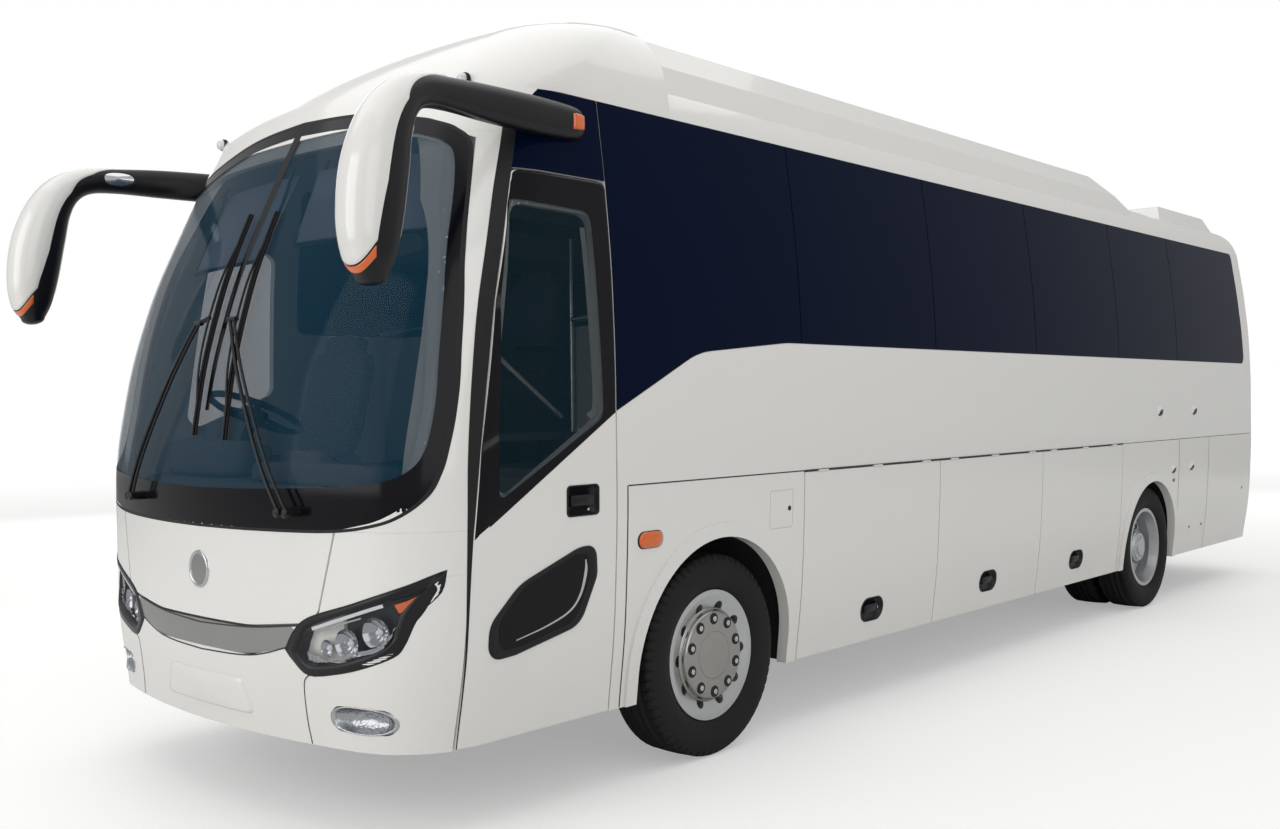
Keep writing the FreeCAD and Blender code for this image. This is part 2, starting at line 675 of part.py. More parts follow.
front_arch = arch_cut(front_axle_y, dim.arch_radius, dim.arch_radius)
rear_arch = arch_cut(rear_axle_y, dim.rear_arch_radius, dim.rear_arch_radius)


def side_panel(first, last, drop):
    """One lower panel between two places along the side, its top edge a drop below the wall."""
    return left_shell.common(block(600, FAR, first, last, 0, locker_z - drop))


# A groove round the filler flap behind the front wheel.
FLAP_GROOVE = 4
flap_line = side_prism(rounded_box(2265, 2455, 1015, 1200, 14), 600, FAR)
flap_line = flap_line.cut(side_prism(rounded_box(2269, 2451, 1019, 1196, 10), 600, FAR))
flap_line = flap_line.cut(hull(FLAP_GROOVE).common(left_region))
front_panel = side_panel(ARCH_PANEL_FRONT + 2 * joint, LOCKER_SEAMS[0] - gap, 2 * joint)
front_panel = front_panel.cut([front_arch, flap_line])
rear_panel = side_panel(LOCKER_SEAMS[-1] + gap, REAR_PANEL_SEAM - joint, 2 * joint).cut(rear_arch)
tail_panel = side_panel(REAR_PANEL_SEAM + joint, tail_y - joint, 2 * joint)
keep("lower_side_panels", both(front_panel) + both(rear_panel) + both(tail_panel))

flare_skin = hull(-dim.flare_proud).cut(outer)


def flare(axle_y, radius):
    """The moulding that stands off the side round a wheel arch."""
    ring = arch_cut(axle_y, radius + dim.flare_width, radius + dim.flare_width)
    ring = ring.cut(arch_cut(axle_y, radius, radius)).common(block(600, FAR, 0, 3 * FAR, skirt_z, locker_z))
    return flare_skin.common(ring)


keep("arch_flares", both(flare(front_axle_y, dim.arch_radius)) + both(flare(rear_axle_y, dim.rear_arch_radius)))
side_marker = hull(-12).cut(outer).common(side_prism(rounded_box(1330, 1480, 1010, 1080, 34), 600, FAR))
roof_marker = Part.makeSphere(28, Vector(920, 668, 2930)).cut(hull(0, CAP_SECTIONS))
keep("marker_lamps", both(side_marker) + both(roof_marker))

handle_floor = hull(18).common(left_region)
grip_face = hull(4).common(left_region)
grip_back = hull(20).common(left_region)
HANDLE_PLACES = [3235, 4575, 5886]
handle_z = 507
lockers = []
for number, (first, last) in enumerate(zip(LOCKER_SEAMS[:-1], LOCKER_SEAMS[1:]), 1):
    leaf = side_panel(first + gap, last - gap, dim.seam).cut(hinge_rooms)
    for start in hinge_places(first, last):
        low = start + HINGE_LENGTH / 3 + 1
        high = start + HINGE_LENGTH * 2 / 3 - 1
        knuckle = rod(Vector(hinge_x, low, hinge_z), Vector(hinge_x, high, hinge_z), BARREL)
        strap = block(hinge_x - 16, hinge_x - 1, low, high, hinge_z - 8, hinge_z - 1)
        bore = rod(Vector(hinge_x, low - 5, hinge_z), Vector(hinge_x, high + 5, hinge_z), PIN + 0.05)
        leaf = leaf.fuse(strap).fuse(knuckle).cut(bore)
    grip_y = HANDLE_PLACES[number - 1]
    oval = rounded_box(grip_y - 105, grip_y + 105, handle_z - 62, handle_z + 62, 61)
    leaf = leaf.cut(side_prism(oval, 1100, 1300).cut(handle_floor))
    grip = side_prism(rounded_box(grip_y - 60, grip_y + 60, handle_z - 14, handle_z + 22, 10), 1100, 1300)
    leaf = leaf.fuse(grip.common(grip_face).cut(grip_back))
    lockers.append(keep(f"locker_left_{number}", leaf))
    lockers.append(keep(f"locker_right_{number}", across(leaf)))

# ---------------------------------------------------------------- tail
ENGINE_DOOR = (880, 700, 1560)
tail_shell = tail_shell.common(block(-FAR, FAR, tail_y + joint, 3 * FAR, 0, cant_z - 2 * joint))
engine_x, engine_low, engine_high = ENGINE_DOOR


def tail_opening(half, low, high, corner, grow=0):
    """A rounded opening through the tail, even about the centre line; grow widens it all round."""
    outline = rounded_box(-half - grow, half + grow, low - grow, high + grow, corner)
    return front_prism(outline, tail_y, 3 * FAR)


bumper_top = 660
rear_wall = tail_shell.common(block(-FAR, FAR, 0, 3 * FAR, bumper_top + joint, FAR))


def rear_lamp_zone(shrink):
    """The left rear lamp's outline from behind, drawn in by shrink."""
    x0, x1, z0, z1 = 985 + shrink, 1190 - shrink, 760 + shrink, 1500 - shrink
    tight, wide = 30 - shrink, 60 - shrink
    return front_prism([(x0, z0, tight), (x1, z0, tight), (x1, z1, wide), (x0, z1, tight)], tail_y, 3 * FAR)


lamp_cut = rear_lamp_zone(0)
window_step = tail_opening(1040, 1960, 2760, 90).cut(glass_seat)
engine_hole = tail_opening(engine_x, engine_low, engine_high, 40, dim.seam)
window_hole = tail_opening(960, 2040, 2680, 60)
tail_hinge_starts = (-700, -45, 610)
tail_hinge_z = engine_high + dim.seam / 2
tail_rooms = []
for x in tail_hinge_starts:
    ends = [Vector(x + reach, dim.body_length, tail_hinge_z) for reach in (-1, HINGE_LENGTH + 1)]
    tail_rooms.append(rod(*ends, BARREL + 1))
rear_wall = rear_wall.cut([engine_hole, lamp_cut, across(lamp_cut), window_step, window_hole] + tail_rooms)
tail_parts = [rear_wall]
for start in tail_hinge_starts:
    at = Vector(start, dim.body_length, engine_high + dim.seam / 2)
    step = Vector(HINGE_LENGTH / 3, 0, 0)
    tail_parts.append(rod(at, at + step * 3, PIN))
    for k in (0, 2):
        tail_parts.append(rod(at + step * k, at + step * (k + 1), BARREL))
        low_x = at.x + step.x * k
        tail_parts.append(block(low_x, low_x + step.x, at.y - 12, at.y + 2, at.z + 2, at.z + 6))
keep("rear_wall", fuse(tail_parts))
keep("rear_window", glass_skin.common(tail_opening(1037, 1963, 2757, 87)))
engine_door = tail_shell.common(tail_opening(engine_x, engine_low, engine_high, 40)).cut(tail_rooms)
for start in tail_hinge_starts:
    at = Vector(start + HINGE_LENGTH / 3 + 1, dim.body_length, engine_high + dim.seam / 2)
    step = Vector(HINGE_LENGTH / 3 - 2, 0, 0)
    strap = block(at.x, at.x + step.x, at.y - 16, at.y - 1, at.z - 8, at.z - 1)
    engine_door = engine_door.fuse([strap, rod(at, at + step, BARREL)])
    engine_door = engine_door.cut(rod(at - step, at + step * 2, PIN + 0.05))
LOUVRES = 9
louvre_pitch = 42
for number in range(LOUVRES):
    low = 800 + number * louvre_pitch
    engine_door = engine_door.cut(front_prism(rounded_box(-620, 620, low, low + 16, 7), tail_y, 3 * FAR))
keep("engine_door", engine_door)
rear_arms = [block(x, x + 80, 9450, FAR + FAR, 500, 600).common(rooted) for x in (-480, 400)]
keep("rear_bumper", fuse([tail_shell.common(block(-FAR, FAR, 0, 3 * FAR, 0, bumper_top - joint))] + rear_arms))
keep("rear_lamps", both(tail_shell.common(rear_lamp_zone(SEAT))))

# ---------------------------------------------------------------- passenger door
door_gap = dim.door_gap
front_line = [(y + door_gap, z, 0) for y, z in MASK_EDGE[:6]]
front_line[0] = (377 + door_gap, 345, 0)
door_outline = front_line + [(688 + door_gap, dim.door_top - door_gap, 30)]
door_back = dim.door_rear_y - door_gap
door_outline += [(door_back, dim.door_top - door_gap, 30), (door_back, 345, 0)]
door_shape = front_shell.common(side_prism(door_outline, 0, FAR))
# The glass covers the whole upper door, over a smaller opening through the leaf.
DOOR_OPENING = [(545, 1285, 40), (620, 1292, 80), (1063, 1548, 80), (1128, 1600, 60), (1100, 2400, 60),
                (670, 2410, 60), (560, 1800, 0)]
DOOR_GLASS = [(430, 1135, 0), (1180, 1592, 0), (1180, 2534, 0), (705, 2534, 0), (683, 2490, 0), (558, 2024, 0),
              (465, 1463, 0)]
LOW_GLASS = [(505, 665, 60), (640, 672, 60), (980, 740, 120), (1072, 930, 90), (1060, 1048, 50),
             (971, 1046, 200), (655, 935, 250), (510, 800, 100)]


def drawn_in(points, share):
    """The same outline made smaller about its own middle."""
    middle_y = sum(p[0] for p in points) / len(points)
    middle_z = sum(p[1] for p in points) / len(points)
    return [(middle_y + (y - middle_y) * share, middle_z + (z - middle_z) * share, radius * share)
            for y, z, radius in points]


glass_holes = []
door_panes = []
for outline, opening in ((DOOR_GLASS, DOOR_OPENING), (LOW_GLASS, drawn_in(LOW_GLASS, 0.9))):
    glass_holes.append(side_prism(outline, 0, FAR).cut(front_seat))
    glass_holes.append(side_prism(opening, 0, FAR))
    door_panes.append(front_glass.common(side_prism(drawn_in(outline, 0.995), 0, FAR)))
handle_room = side_prism(rounded_box(906, 1080, 1180, 1300, 18), 600, FAR)
door_shape = door_shape.cut(glass_holes + [handle_room.cut(handle_floor)])
lever = side_prism(rounded_box(930, 1056, 1222, 1258, 8), 1100, FAR)
door_shape = door_shape.fuse(lever.common(grip_face).cut(grip_back))
post_x = dim.half_width - dim.door_post_in
pivot_x = post_x + dim.door_pivot_out
pivot_y = dim.door_post_y + dim.door_arm_reach
arm_levels = (620, 1500)
arm_lean = -math.degrees(math.atan2(dim.door_pivot_out, dim.door_arm_reach))
brackets = []
for level in arm_levels:
    plate = block(pivot_x - 18, 1245 - dim.wall + 5, pivot_y - 18, pivot_y + 18, level + 16, level + 28)
    brackets.append(plate)
    brackets.append(Part.makeCylinder(9.95, 46, Vector(pivot_x, pivot_y, level - 20)))
keep("door_leaf", fuse([door_shape] + brackets))
keep("door_glass", door_panes)
STEP_TOP = 420
arms = []
for level in arm_levels:
    arm = block(post_x - 15, post_x + 15, dim.door_post_y, pivot_y, level - 15, level + 15)
    arm.rotate(Vector(post_x, dim.door_post_y, 0), Vector(0, 0, 1), arm_lean)
    eye = Part.makeCylinder(20, 30, Vector(pivot_x, pivot_y, level - 15))
    bore = Part.makeCylinder(10, 60, Vector(pivot_x, pivot_y, level - 30))
    arms.append(arm.fuse(eye).cut(bore))
column = Part.makeCylinder(22, 1150, Vector(post_x, dim.door_post_y, STEP_TOP + SEAT))
keep("door_arm", fuse(arms + [column]))

# ---------------------------------------------------------------- running gear and frame
# Rails in three lengths, from nose to tail, with the low one under the hold; it is seated between the others.
HOLD_RAILS = (2590, 6590)
nose_frame = []
low_frame = []
tail_frame = []
for x, nose_x in ((-480, -480), (400, 200)):
    nose_frame.append(block(nose_x, nose_x + 80, 250, 1330, 500, 780))
    nose_frame.append(block(x, x + 80, 1250, HOLD_RAILS[0], 620, 780))
    nose_frame.append(block(x, x + 80, HOLD_RAILS[0] - 80, HOLD_RAILS[0], 330, 780))
    low_frame.append(block(x, x + 80, HOLD_RAILS[0] + SEAT, HOLD_RAILS[1] - SEAT, 330, 395))
    tail_frame.append(block(x, x + 80, HOLD_RAILS[1], HOLD_RAILS[1] + 80, 330, 780))
    tail_frame.append(block(x, x + 80, HOLD_RAILS[1], 9450, 620, 780))
    tail_frame.append(block(x, x + 80, 8600, 9450, 500, 780))
nose_frame.append(block(-480, 280, 250, 330, 640, 700))
for lengths, y, low in ((nose_frame, 1250, 640), (nose_frame, HOLD_RAILS[0] - 80, 330), (low_frame, 3900, 330),
                        (low_frame, 5275, 330), (tail_frame, HOLD_RAILS[1], 330), (tail_frame, 8000, 640),
                        (tail_frame, 9370, 640)):
    lengths.append(block(-480, 480, y, y + 80, low, low + 60))
# A lashing eye under each end of each rail: a web and a foot that juts inwards, bored for the pin.
TOW_LUG_Y = (500, 9050)
lug_bore = 22
lug_reach = 75
lugs = []
for y in TOW_LUG_Y:
    for x in (-440, 240 if y < 1250 else 440):
        inwards = math.copysign(1, -x)
        eye_x = x + inwards * lug_reach
        foot_x = sorted((x - inwards * 10, eye_x + inwards * 45))
        lug = block(x - 10, x + 10, y - 50, y + 50, 375, 500 - SEAT).fuse(block(*foot_x, y - 50, y + 50, 375, 395))
        lugs.append(lug.cut(Part.makeCylinder(lug_bore, 60, Vector(eye_x, y, 350))))
keep("chassis_frame", [fuse(nose_frame), fuse(low_frame), fuse(tail_frame)] + lugs)

axle_z = hub_z
beam = block(-870, 870, front_axle_y - 45, front_axle_y + 45, axle_z - 74, axle_z + 30)
fists = [Part.makeCylinder(48, 150, Vector(x, front_axle_y, axle_z - 75)) for x in (-900, 900)]
bores = [Part.makeCylinder(25, 400, Vector(x, front_axle_y, axle_z - 200)) for x in (-900, 900)]
posts = [block(x - 40, x + 40, front_axle_y - 60, front_axle_y + 60, axle_z + 15, 620) for x in (-440, 440)]
front_axle = fuse([beam] + fists + posts)
for bore in bores:
    front_axle = front_axle.cut(bore)
keep("front_axle", front_axle)
stub_r = 54.95
half_axle = [(1130, 0, 0), (1130, stub_r, 0), (640, stub_r, 0), (640, 75, 0), (280, 75, 80), (150, 205, 90)]
axle_outline = half_axle + [(-x, r, fillet) for x, r, fillet in reversed(half_axle)]
axle_face = Part.Face(rounded(axle_outline, lambda p: Vector(p.x, rear_axle_y, axle_z + p.y)))
rear_tube = axle_face.revolve(Vector(0, rear_axle_y, axle_z), Vector(1, 0, 0), 360)
rear_posts = [block(x - 40, x + 40, rear_axle_y - 60, rear_axle_y + 60, axle_z + 40, 620) for x in (-440, 440)]
keep("rear_axle", fuse([rear_tube] + rear_posts))

for side, sign in (("left", 1), ("right", -1)):
    king_x = sign * dim.kingpin_x
    upper = block(king_x - 45, king_x + 45, front_axle_y - 45, front_axle_y + 45, axle_z + 78, axle_z + 118)
    lower = block(king_x - 45, king_x + 45, front_axle_y - 45, front_axle_y + 45, axle_z - 118, axle_z - 78)
    cheek_x = sorted((king_x + sign * 53, king_x + sign * 85))
    cheek = block(cheek_x[0], cheek_x[1], front_axle_y - 45, front_axle_y + 45, axle_z - 118, axle_z + 118)
    ear_x = sorted((king_x, king_x + sign * 60))
    ears = [block(*ear_x, front_axle_y - 45, front_axle_y + 45, low, low + 40)
            for low in (axle_z + 78, axle_z - 118)]
    pin = Part.makeCylinder(24.95, 236, Vector(king_x, front_axle_y, axle_z - 118))
    hub_end = Vector(sign * 1140, front_axle_y, axle_z)
    spindle = rod(Vector(king_x + sign * 60, front_axle_y, axle_z), hub_end, 34.95)
    keep(f"knuckle_{side}", fuse([upper, lower, cheek, pin, spindle] + ears))

keep("engine_block", block(-450, 450, 8250, 9650, 780, 1240))


def house(axle_y, radius, depth):
    """A wheel housing: a half round tunnel with straight legs, closed at its inner end."""
    outer_x = 1195
    inner_x = outer_x - depth

    def tunnel(r, x0, x1):
        disc = Part.makeCylinder(r, x1 - x0, Vector(x0, axle_y, hub_z), Vector(1, 0, 0))
        return disc.fuse(block(x0, x1, axle_y - r, axle_y + r, skirt_z, hub_z)).cut(
            block(-FAR, FAR, 0, 3 * FAR, -FAR, skirt_z))

    return tunnel(radius + 8, inner_x - 8, outer_x).cut(tunnel(radius, inner_x, outer_x + 10))


fronts = house(front_axle_y, 600, dim.house_depth)
rears = house(rear_axle_y, 560, dim.house_depth - 10)
housings = both(fronts.common(lining)) + both(rears.common(lining))
king_room = block(-FAR, FAR, front_axle_y - 110, front_axle_y + 110, 300, 640)
axle_room = block(-FAR, FAR, rear_axle_y - 110, rear_axle_y + 110, 300, 640)
keep("wheel_housings", [h.cut(king_room).cut(axle_room) for h in housings])

# ---------------------------------------------------------------- floors
floor_z = dim.floor_height
slab = block(-FAR, FAR, 1230, 9540, floor_z - dim.floor_thick, floor_z).common(lining)
aisle_steps = block(-250, 350, 1200, 1750, 1000, FAR)
keep("saloon_floor", slab.cut(aisle_steps))
steps = [block(-1190, 300, 420, 1226, 860, 900), block(-250, 350, 1226, 1490, 860, 900)]
steps += [block(-250, 350, 1450, 1490, 900, 1060), block(-250, 350, 1450, 1754, 1020, 1060)]
steps += [block(-250, 350, 1754, 1794, 1020, floor_z - dim.floor_thick)]
steps += [block(300, 340, 420, 1226, 630, 900), block(300, 640, 420, 1226, 630, 670)]
steps.append(block(600, 640, 420, 1226, 420 + SEAT, 670))
lowest_tread = block(600, 1120, 420, 1226, 380, 420)
keep("entry_steps", [fuse(steps).common(lining), lowest_tread.common(lining)])
hold_z = dim.hold_floor
hold = [block(-1120, 1120, 2600, 6580, hold_z, hold_z + 20)]
hold += [block(-1120, 1120, 2595, 2610, hold_z, floor_z - dim.floor_thick)]
hold += [block(-1120, 1120, 6570, 6585, hold_z, floor_z - dim.floor_thick)]
keep("luggage_hold", fuse(hold).common(lining))

# ---------------------------------------------------------------- saloon
dash_outline = [(330, 900, 0), (560, 900, 0), (640, 1220, 60), (560, 1330, 60), (330, 1290, 80)]
dash_end_outline = [(300, 900, 0), (420, 900, 0), (420, 1325, 40), (300, 1290, 60)]
dash = side_prism(dash_outline, -1150, 480).fuse(side_prism(dash_end_outline, 470, 1000))
wheel_centre = Vector(-700, 700, 1600)
steering = Part.makeTorus(225, 16, Vector(0, 0, 0), Vector(0, 0, 1))
steering = steering.fuse(Part.makeCylinder(60, 40, Vector(0, 0, -30)))
for angle in (0, 120, 240):
    spoke = block(0, 225, -15, 15, -14, 0)
    spoke.rotate(Vector(0, 0, 0), Vector(0, 0, 1), angle + 90)
    steering = steering.fuse(spoke)
steering = steering.fuse(Part.makeCylinder(25, 330, Vector(0, 0, -330)))
column_room = Part.makeCylinder(25 + SEAT, 335, Vector(0, 0, -335))
for turned_piece in (steering, column_room):
    turned_piece.rotate(Vector(0, 0, 0), Vector(1, 0, 0), -25)
    turned_piece.translate(wheel_centre)
keep("steering_wheel", steering)
keep("dashboard", dash.common(hull(dim.wall + 10, below=UNDER)).cut(column_room))
SEAT_OUTLINE = [(0, 380, 30), (0, 480, 40), (330, 470, 40), (420, 1080, 30), (520, 1090, 40), (440, 380, 30)]


def seat(x0, x1, y, z):
    """A seat in side view, its cushion ahead of a raked back, on a plinth."""
    body = side_prism([(y + a, z + b, r) for a, b, r in SEAT_OUTLINE], x0, x1)
    return body.fuse(block(x0 + 60, x1 - 60, y + 80, y + 380, z, z + 400))


keep("driver_seat", seat(-950, -450, 760, 900))
ROWS = 9
FIRST_ROW_Y = 1900
ROW_PITCH = 820
BENCH_WIDTH = 900
seats = []
for i in range(ROWS):
    for x0 in (-1130, 230):
        seats.append(seat(x0, x0 + BENCH_WIDTH, FIRST_ROW_Y + i * ROW_PITCH, floor_z))
keep("passenger_seats", seats)
rack_section = [(760, 2500, 20), (1300, 2430, 0), (1300, 2720, 0), (1010, 2690, 20), (790, 2560, 30)]
rack = front_prism(rack_section, 1800, 9300)
keep("luggage_racks", both(rack.common(lining)))

# ---------------------------------------------------------------- mirrors and wipers
# Sections of a mirror from its root on the body, forward along the arm, round the bend and
# down the head: centre (x, y, z), angle turned down from level, width across and depth.
MIRROR_SECTIONS = [
    (1165, 1080, 2768, 0, 70, 90),
    (1185, 1020, 2766, 0, 92, 140),
    (1205, 820, 2762, 0, 100, 156),
    (1238, 520, 2756, 0, 104, 148),
    (1272, 290, 2748, 4, 116, 128),
    (1292, 150, 2732, 20, 138, 132),
    (1305, 50, 2680, 48, 166, 160),
    (1315, -20, 2580, 74, 192, 196),
    (1324, -65, 2430, 87, 210, 232),
    (1330, -90, 2260, 92, 204, 224),
    (1334, -97, 2130, 94, 172, 176),
    (1336, -92, 2060, 95, 116, 104),
]


def mirror_section(x, y, z, turned_down, wide, deep):
    """A rounded rectangle across the mirror's line of travel."""
    angle = math.radians(turned_down)
    radius = 0.42 * min(wide, deep)
    corners = [(-wide / 2, -deep / 2, radius), (wide / 2, -deep / 2, radius),
               (wide / 2, deep / 2, radius), (-wide / 2, deep / 2, radius)]
    return rounded(corners, lambda p: Vector(x + p.x, y - p.y * math.sin(angle), z + p.y * math.cos(angle)))


mirror = Part.makeLoft([mirror_section(*row) for row in MIRROR_SECTIONS], True, False)
keep("mirrors", both(mirror.cut(outer)))


screen_front = outer.common(block(-700, 700, -100, 600, 1150, 2600))


def nose_y(x, z):
    """Where a level line from ahead meets the windscreen's side of the body."""
    line = Part.makeLine(Vector(x, -1000, z), Vector(x, 1500, z))
    return screen_front.common(line).BoundBox.YMin


def bent_rod(points, radius):
    """A round bar through several points, with a ball at each bend."""
    bars = [rod(start, end, radius) for start, end in zip(points[:-1], points[1:])]
    return fuse(bars + [Part.makeSphere(radius, point) for point in points[1:-1]])


# Each wiper: two arms side by side from the pivots below the glass to a blade that follows it.
# pivot (x, z), head of the arms (x, z), blade foot (x, z), blade tip (x, z)
WIPERS = [
    ((-595, 1245), (-150, 1984), (-43, 1518), (-79, 2462)),
    ((598, 1230), (118, 1991), (190, 1500), (129, 2453)),
]
ARM_OFF = 55
BLADE_OFF = 14
BLADE_STEPS = 7
wipers = []
for pivot, head, foot, tip in WIPERS:
    bars = []
    for shift in (0, 45):
        base = Vector(pivot[0] + shift, nose_y(pivot[0] + shift, pivot[1]) - ARM_OFF, pivot[1])
        bars.append(rod(base + Vector(0, ARM_OFF + 8, 0), base - Vector(0, 12, 0), 17))
        waist = Vector((pivot[0] + head[0]) / 2 + shift * 0.7, 0, (pivot[1] + head[1]) / 2)
        waist.y = nose_y(waist.x, waist.z) - ARM_OFF
        top = Vector(head[0] + shift * 0.6, nose_y(*head) - ARM_OFF, head[1])
        bars.append(bent_rod([base, waist, top], 8))
    yoke = Vector(head[0], nose_y(*head) - ARM_OFF, head[1])
    bars.append(rod(yoke - Vector(12, 0, 0), yoke + Vector(45, 0, 0), 11))
    blade_points = []
    for k in range(BLADE_STEPS + 1):
        x = foot[0] + (tip[0] - foot[0]) * k / BLADE_STEPS
        z = foot[1] + (tip[1] - foot[1]) * k / BLADE_STEPS
        blade_points.append(Vector(x, nose_y(x, z) - BLADE_OFF, z))
    bars.append(bent_rod(blade_points, 8))
    middle = min(blade_points, key=lambda point: abs(point.z - head[1]))
    bars.append(rod(middle, yoke + Vector(15, 0, 0), 8))
    wipers.append(fuse(bars).cut(outer))
keep("wipers", wipers)

# ---------------------------------------------------------------- wheels
Y_FORWARD = (dim.body_length - dim.mirror_front) / 2


def origin_plane(body, role):
    return next(f for f in body.Origin.OriginFeatures if f.Role == role)


def profile(body, role, loops):
    """A sketch of closed loops of lines through (a, b) corners, each corner held by its two measures."""
    sketch = body.newObject("Sketcher::SketchObject", body.Name + "_profile")
    sketch.AttachmentSupport = [(origin_plane(body, role), "")]
    sketch.MapMode = "FlatFace"
    first = 0
    for corners in loops:
        count = len(corners)
        for i, (a, b) in enumerate(corners):
            following = corners[(i + 1) % count]
            sketch.addGeometry(Part.LineSegment(Vector(a, b, 0), Vector(*following, 0)), False)
        for i in range(count):
            sketch.addConstraint(Sketcher.Constraint("Coincident", first + i, 2, first + (i + 1) % count, 1))
        for i, corner in enumerate(corners):
            for kind, value in zip(("DistanceX", "DistanceY"), corner):
                index = sketch.addConstraint(Sketcher.Constraint(kind, -1, 1, first + i, 1, float(value)))
                if isinstance(value, Measure):
                    sketch.setExpression(f"Constraints[{index}]", value.text)
        first += count
    return sketch


def turned(name, loops, place):
    """A PartDesign body turned about the axle (its own X axis) from half sections (x, radius)."""
    body = doc.addObject("PartDesign::Body", name)
    body.Label = name
    body.AllowCompound = len(loops) > 1
    sketch = profile(body, "XZ_Plane", loops)
    turn = body.newObject("PartDesign::Revolution", name + "_turn")
    turn.Profile = sketch
    turn.ReferenceAxis = (sketch, ["H_Axis"])
    turn.Angle = 360
    body.Placement = FreeCAD.Placement(place, FreeCAD.Rotation())
    NODES.append(body)
    return body


def pierced(body, centre, radius, count):
    """Round holes through a wheel's disc, spaced evenly about the axle."""
    sketch = body.newObject("Sketcher::SketchObject", body.Name + "_hole")
    sketch.AttachmentSupport = [(origin_plane(body, "YZ_Plane"), "")]
    sketch.MapMode = "FlatFace"
    sketch.addGeometry(Part.Circle(Vector(centre, 0, 0), Vector(0, 0, 1), radius), False)
    sketch.addConstraint(Sketcher.Constraint("Radius", 0, float(radius)))
    sketch.addConstraint(Sketcher.Constraint("DistanceX", -1, 1, 0, 3, float(centre)))
    sketch.addConstraint(Sketcher.Constraint("PointOnObject", 0, 3, -1))
    pocket = body.newObject("PartDesign::Pocket", body.Name + "_pocket")
    pocket.Profile = sketch
    pocket.Type = "ThroughAll"
    pocket.Midplane = True
    pattern = body.newObject("PartDesign::PolarPattern", body.Name + "_holes")
    pattern.Originals = [pocket]
    pattern.Axis = (origin_plane(body, "X_Axis"), [""])
    pattern.Angle = 360
    pattern.Occurrences = count
    body.Tip = pattern


HAND_HOLES = 10
HAND_HOLE_PLACE = 224
HAND_HOLE_RADIUS = 26
half_tread = dim.tyre_width / 2
tyre_r = dim.tyre_diameter / 2
rim_r = dim.rim_diameter / 2
bead_r = rim_r - 11


flange_in = half_tread - 37


def tyre_section(x):
    """Half section of a tyre: bead, sidewall, shoulder and tread, and back down the other side."""
    return [
        (x - flange_in, bead_r), (x - flange_in, rim_r + 4), (x - half_tread, tyre_r - 85),
        (x - half_tread + 12, tyre_r - 18), (x - half_tread + 30, tyre_r), (x + half_tread - 30, tyre_r),
        (x + half_tread - 12, tyre_r - 18), (x + half_tread, tyre_r - 85), (x + flange_in, rim_r + 4),
        (x + flange_in, bead_r),
    ]


def rim_section(x, face, hub_r, hub_in):
    """Half section of a steel wheel: rim, dished disc towards face (+1 outwards) and hub."""
    seat = flange_in + 0.3
    edge = flange_in + 12
    r = bead_r - 0.3
    return [
        (x - face * edge, rim_r), (x - face * edge, r - 14), (x - face * 40, r - 30), (x + face * 30, r - 30),
        (x + face * 60, 170), (x + face * 60, hub_r + 50), (x - face * hub_in, hub_r + 50),
        (x - face * hub_in, hub_r), (x + face * 72, hub_r), (x + face * 72, 182), (x + face * edge, r - 14),
        (x + face * edge, rim_r), (x + face * seat, rim_r), (x + face * seat, r),
        (x - face * seat, r), (x - face * seat, rim_r),
    ]


axle_middle = dim.tyre_width * 0  # a place on the axle that still carries its expression
for side, sign in (("left", 1), ("right", -1)):
    at = Vector(sign * dim.front_track_x, front_axle_y, hub_z)
    turned(f"tyre_front_{side}", [tyre_section(axle_middle)], at)
    rim = turned(f"rim_front_{side}", [rim_section(axle_middle, sign, 35, 40)], at)
    pierced(rim, HAND_HOLE_PLACE, HAND_HOLE_RADIUS, HAND_HOLES)
    at = Vector(sign * dim.rear_outer_x, rear_axle_y, hub_z)
    inner_x = dim.twin_spacing * -sign
    turned(f"tyre_rear_{side}", [tyre_section(axle_middle), tyre_section(inner_x)], at)
    twin_rims = [rim_section(axle_middle, -sign, 55, 60), rim_section(inner_x, sign, 55, 60)]
    rim = turned(f"rim_rear_{side}", twin_rims, at)
    pierced(rim, HAND_HOLE_PLACE, HAND_HOLE_RADIUS, HAND_HOLES)
doc.recompute()

# ---------------------------------------------------------------- placing, checking and writing
for piece in NODES:
    place = piece.Placement
    piece.Placement = FreeCAD.Placement(place.Base - Vector(0, Y_FORWARD, 0), place.Rotation)
doc.recompute()

for item in doc.Objects:
    if "Invalid" in item.State or "Error" in item.State:
        raise RuntimeError(f"{item.Label} failed: {item.State}")
os.makedirs("parts", exist_ok=True)
for piece in NODES:
    if piece.Shape.isNull() or not piece.Shape.isValid():
        raise RuntimeError(f"{piece.Label} has no sound shape")
    piece.Shape.exportStep(os.path.join("parts", piece.Label + ".step"))
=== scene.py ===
import math

import bpy
import numpy as np
from mathutils import Matrix, Vector


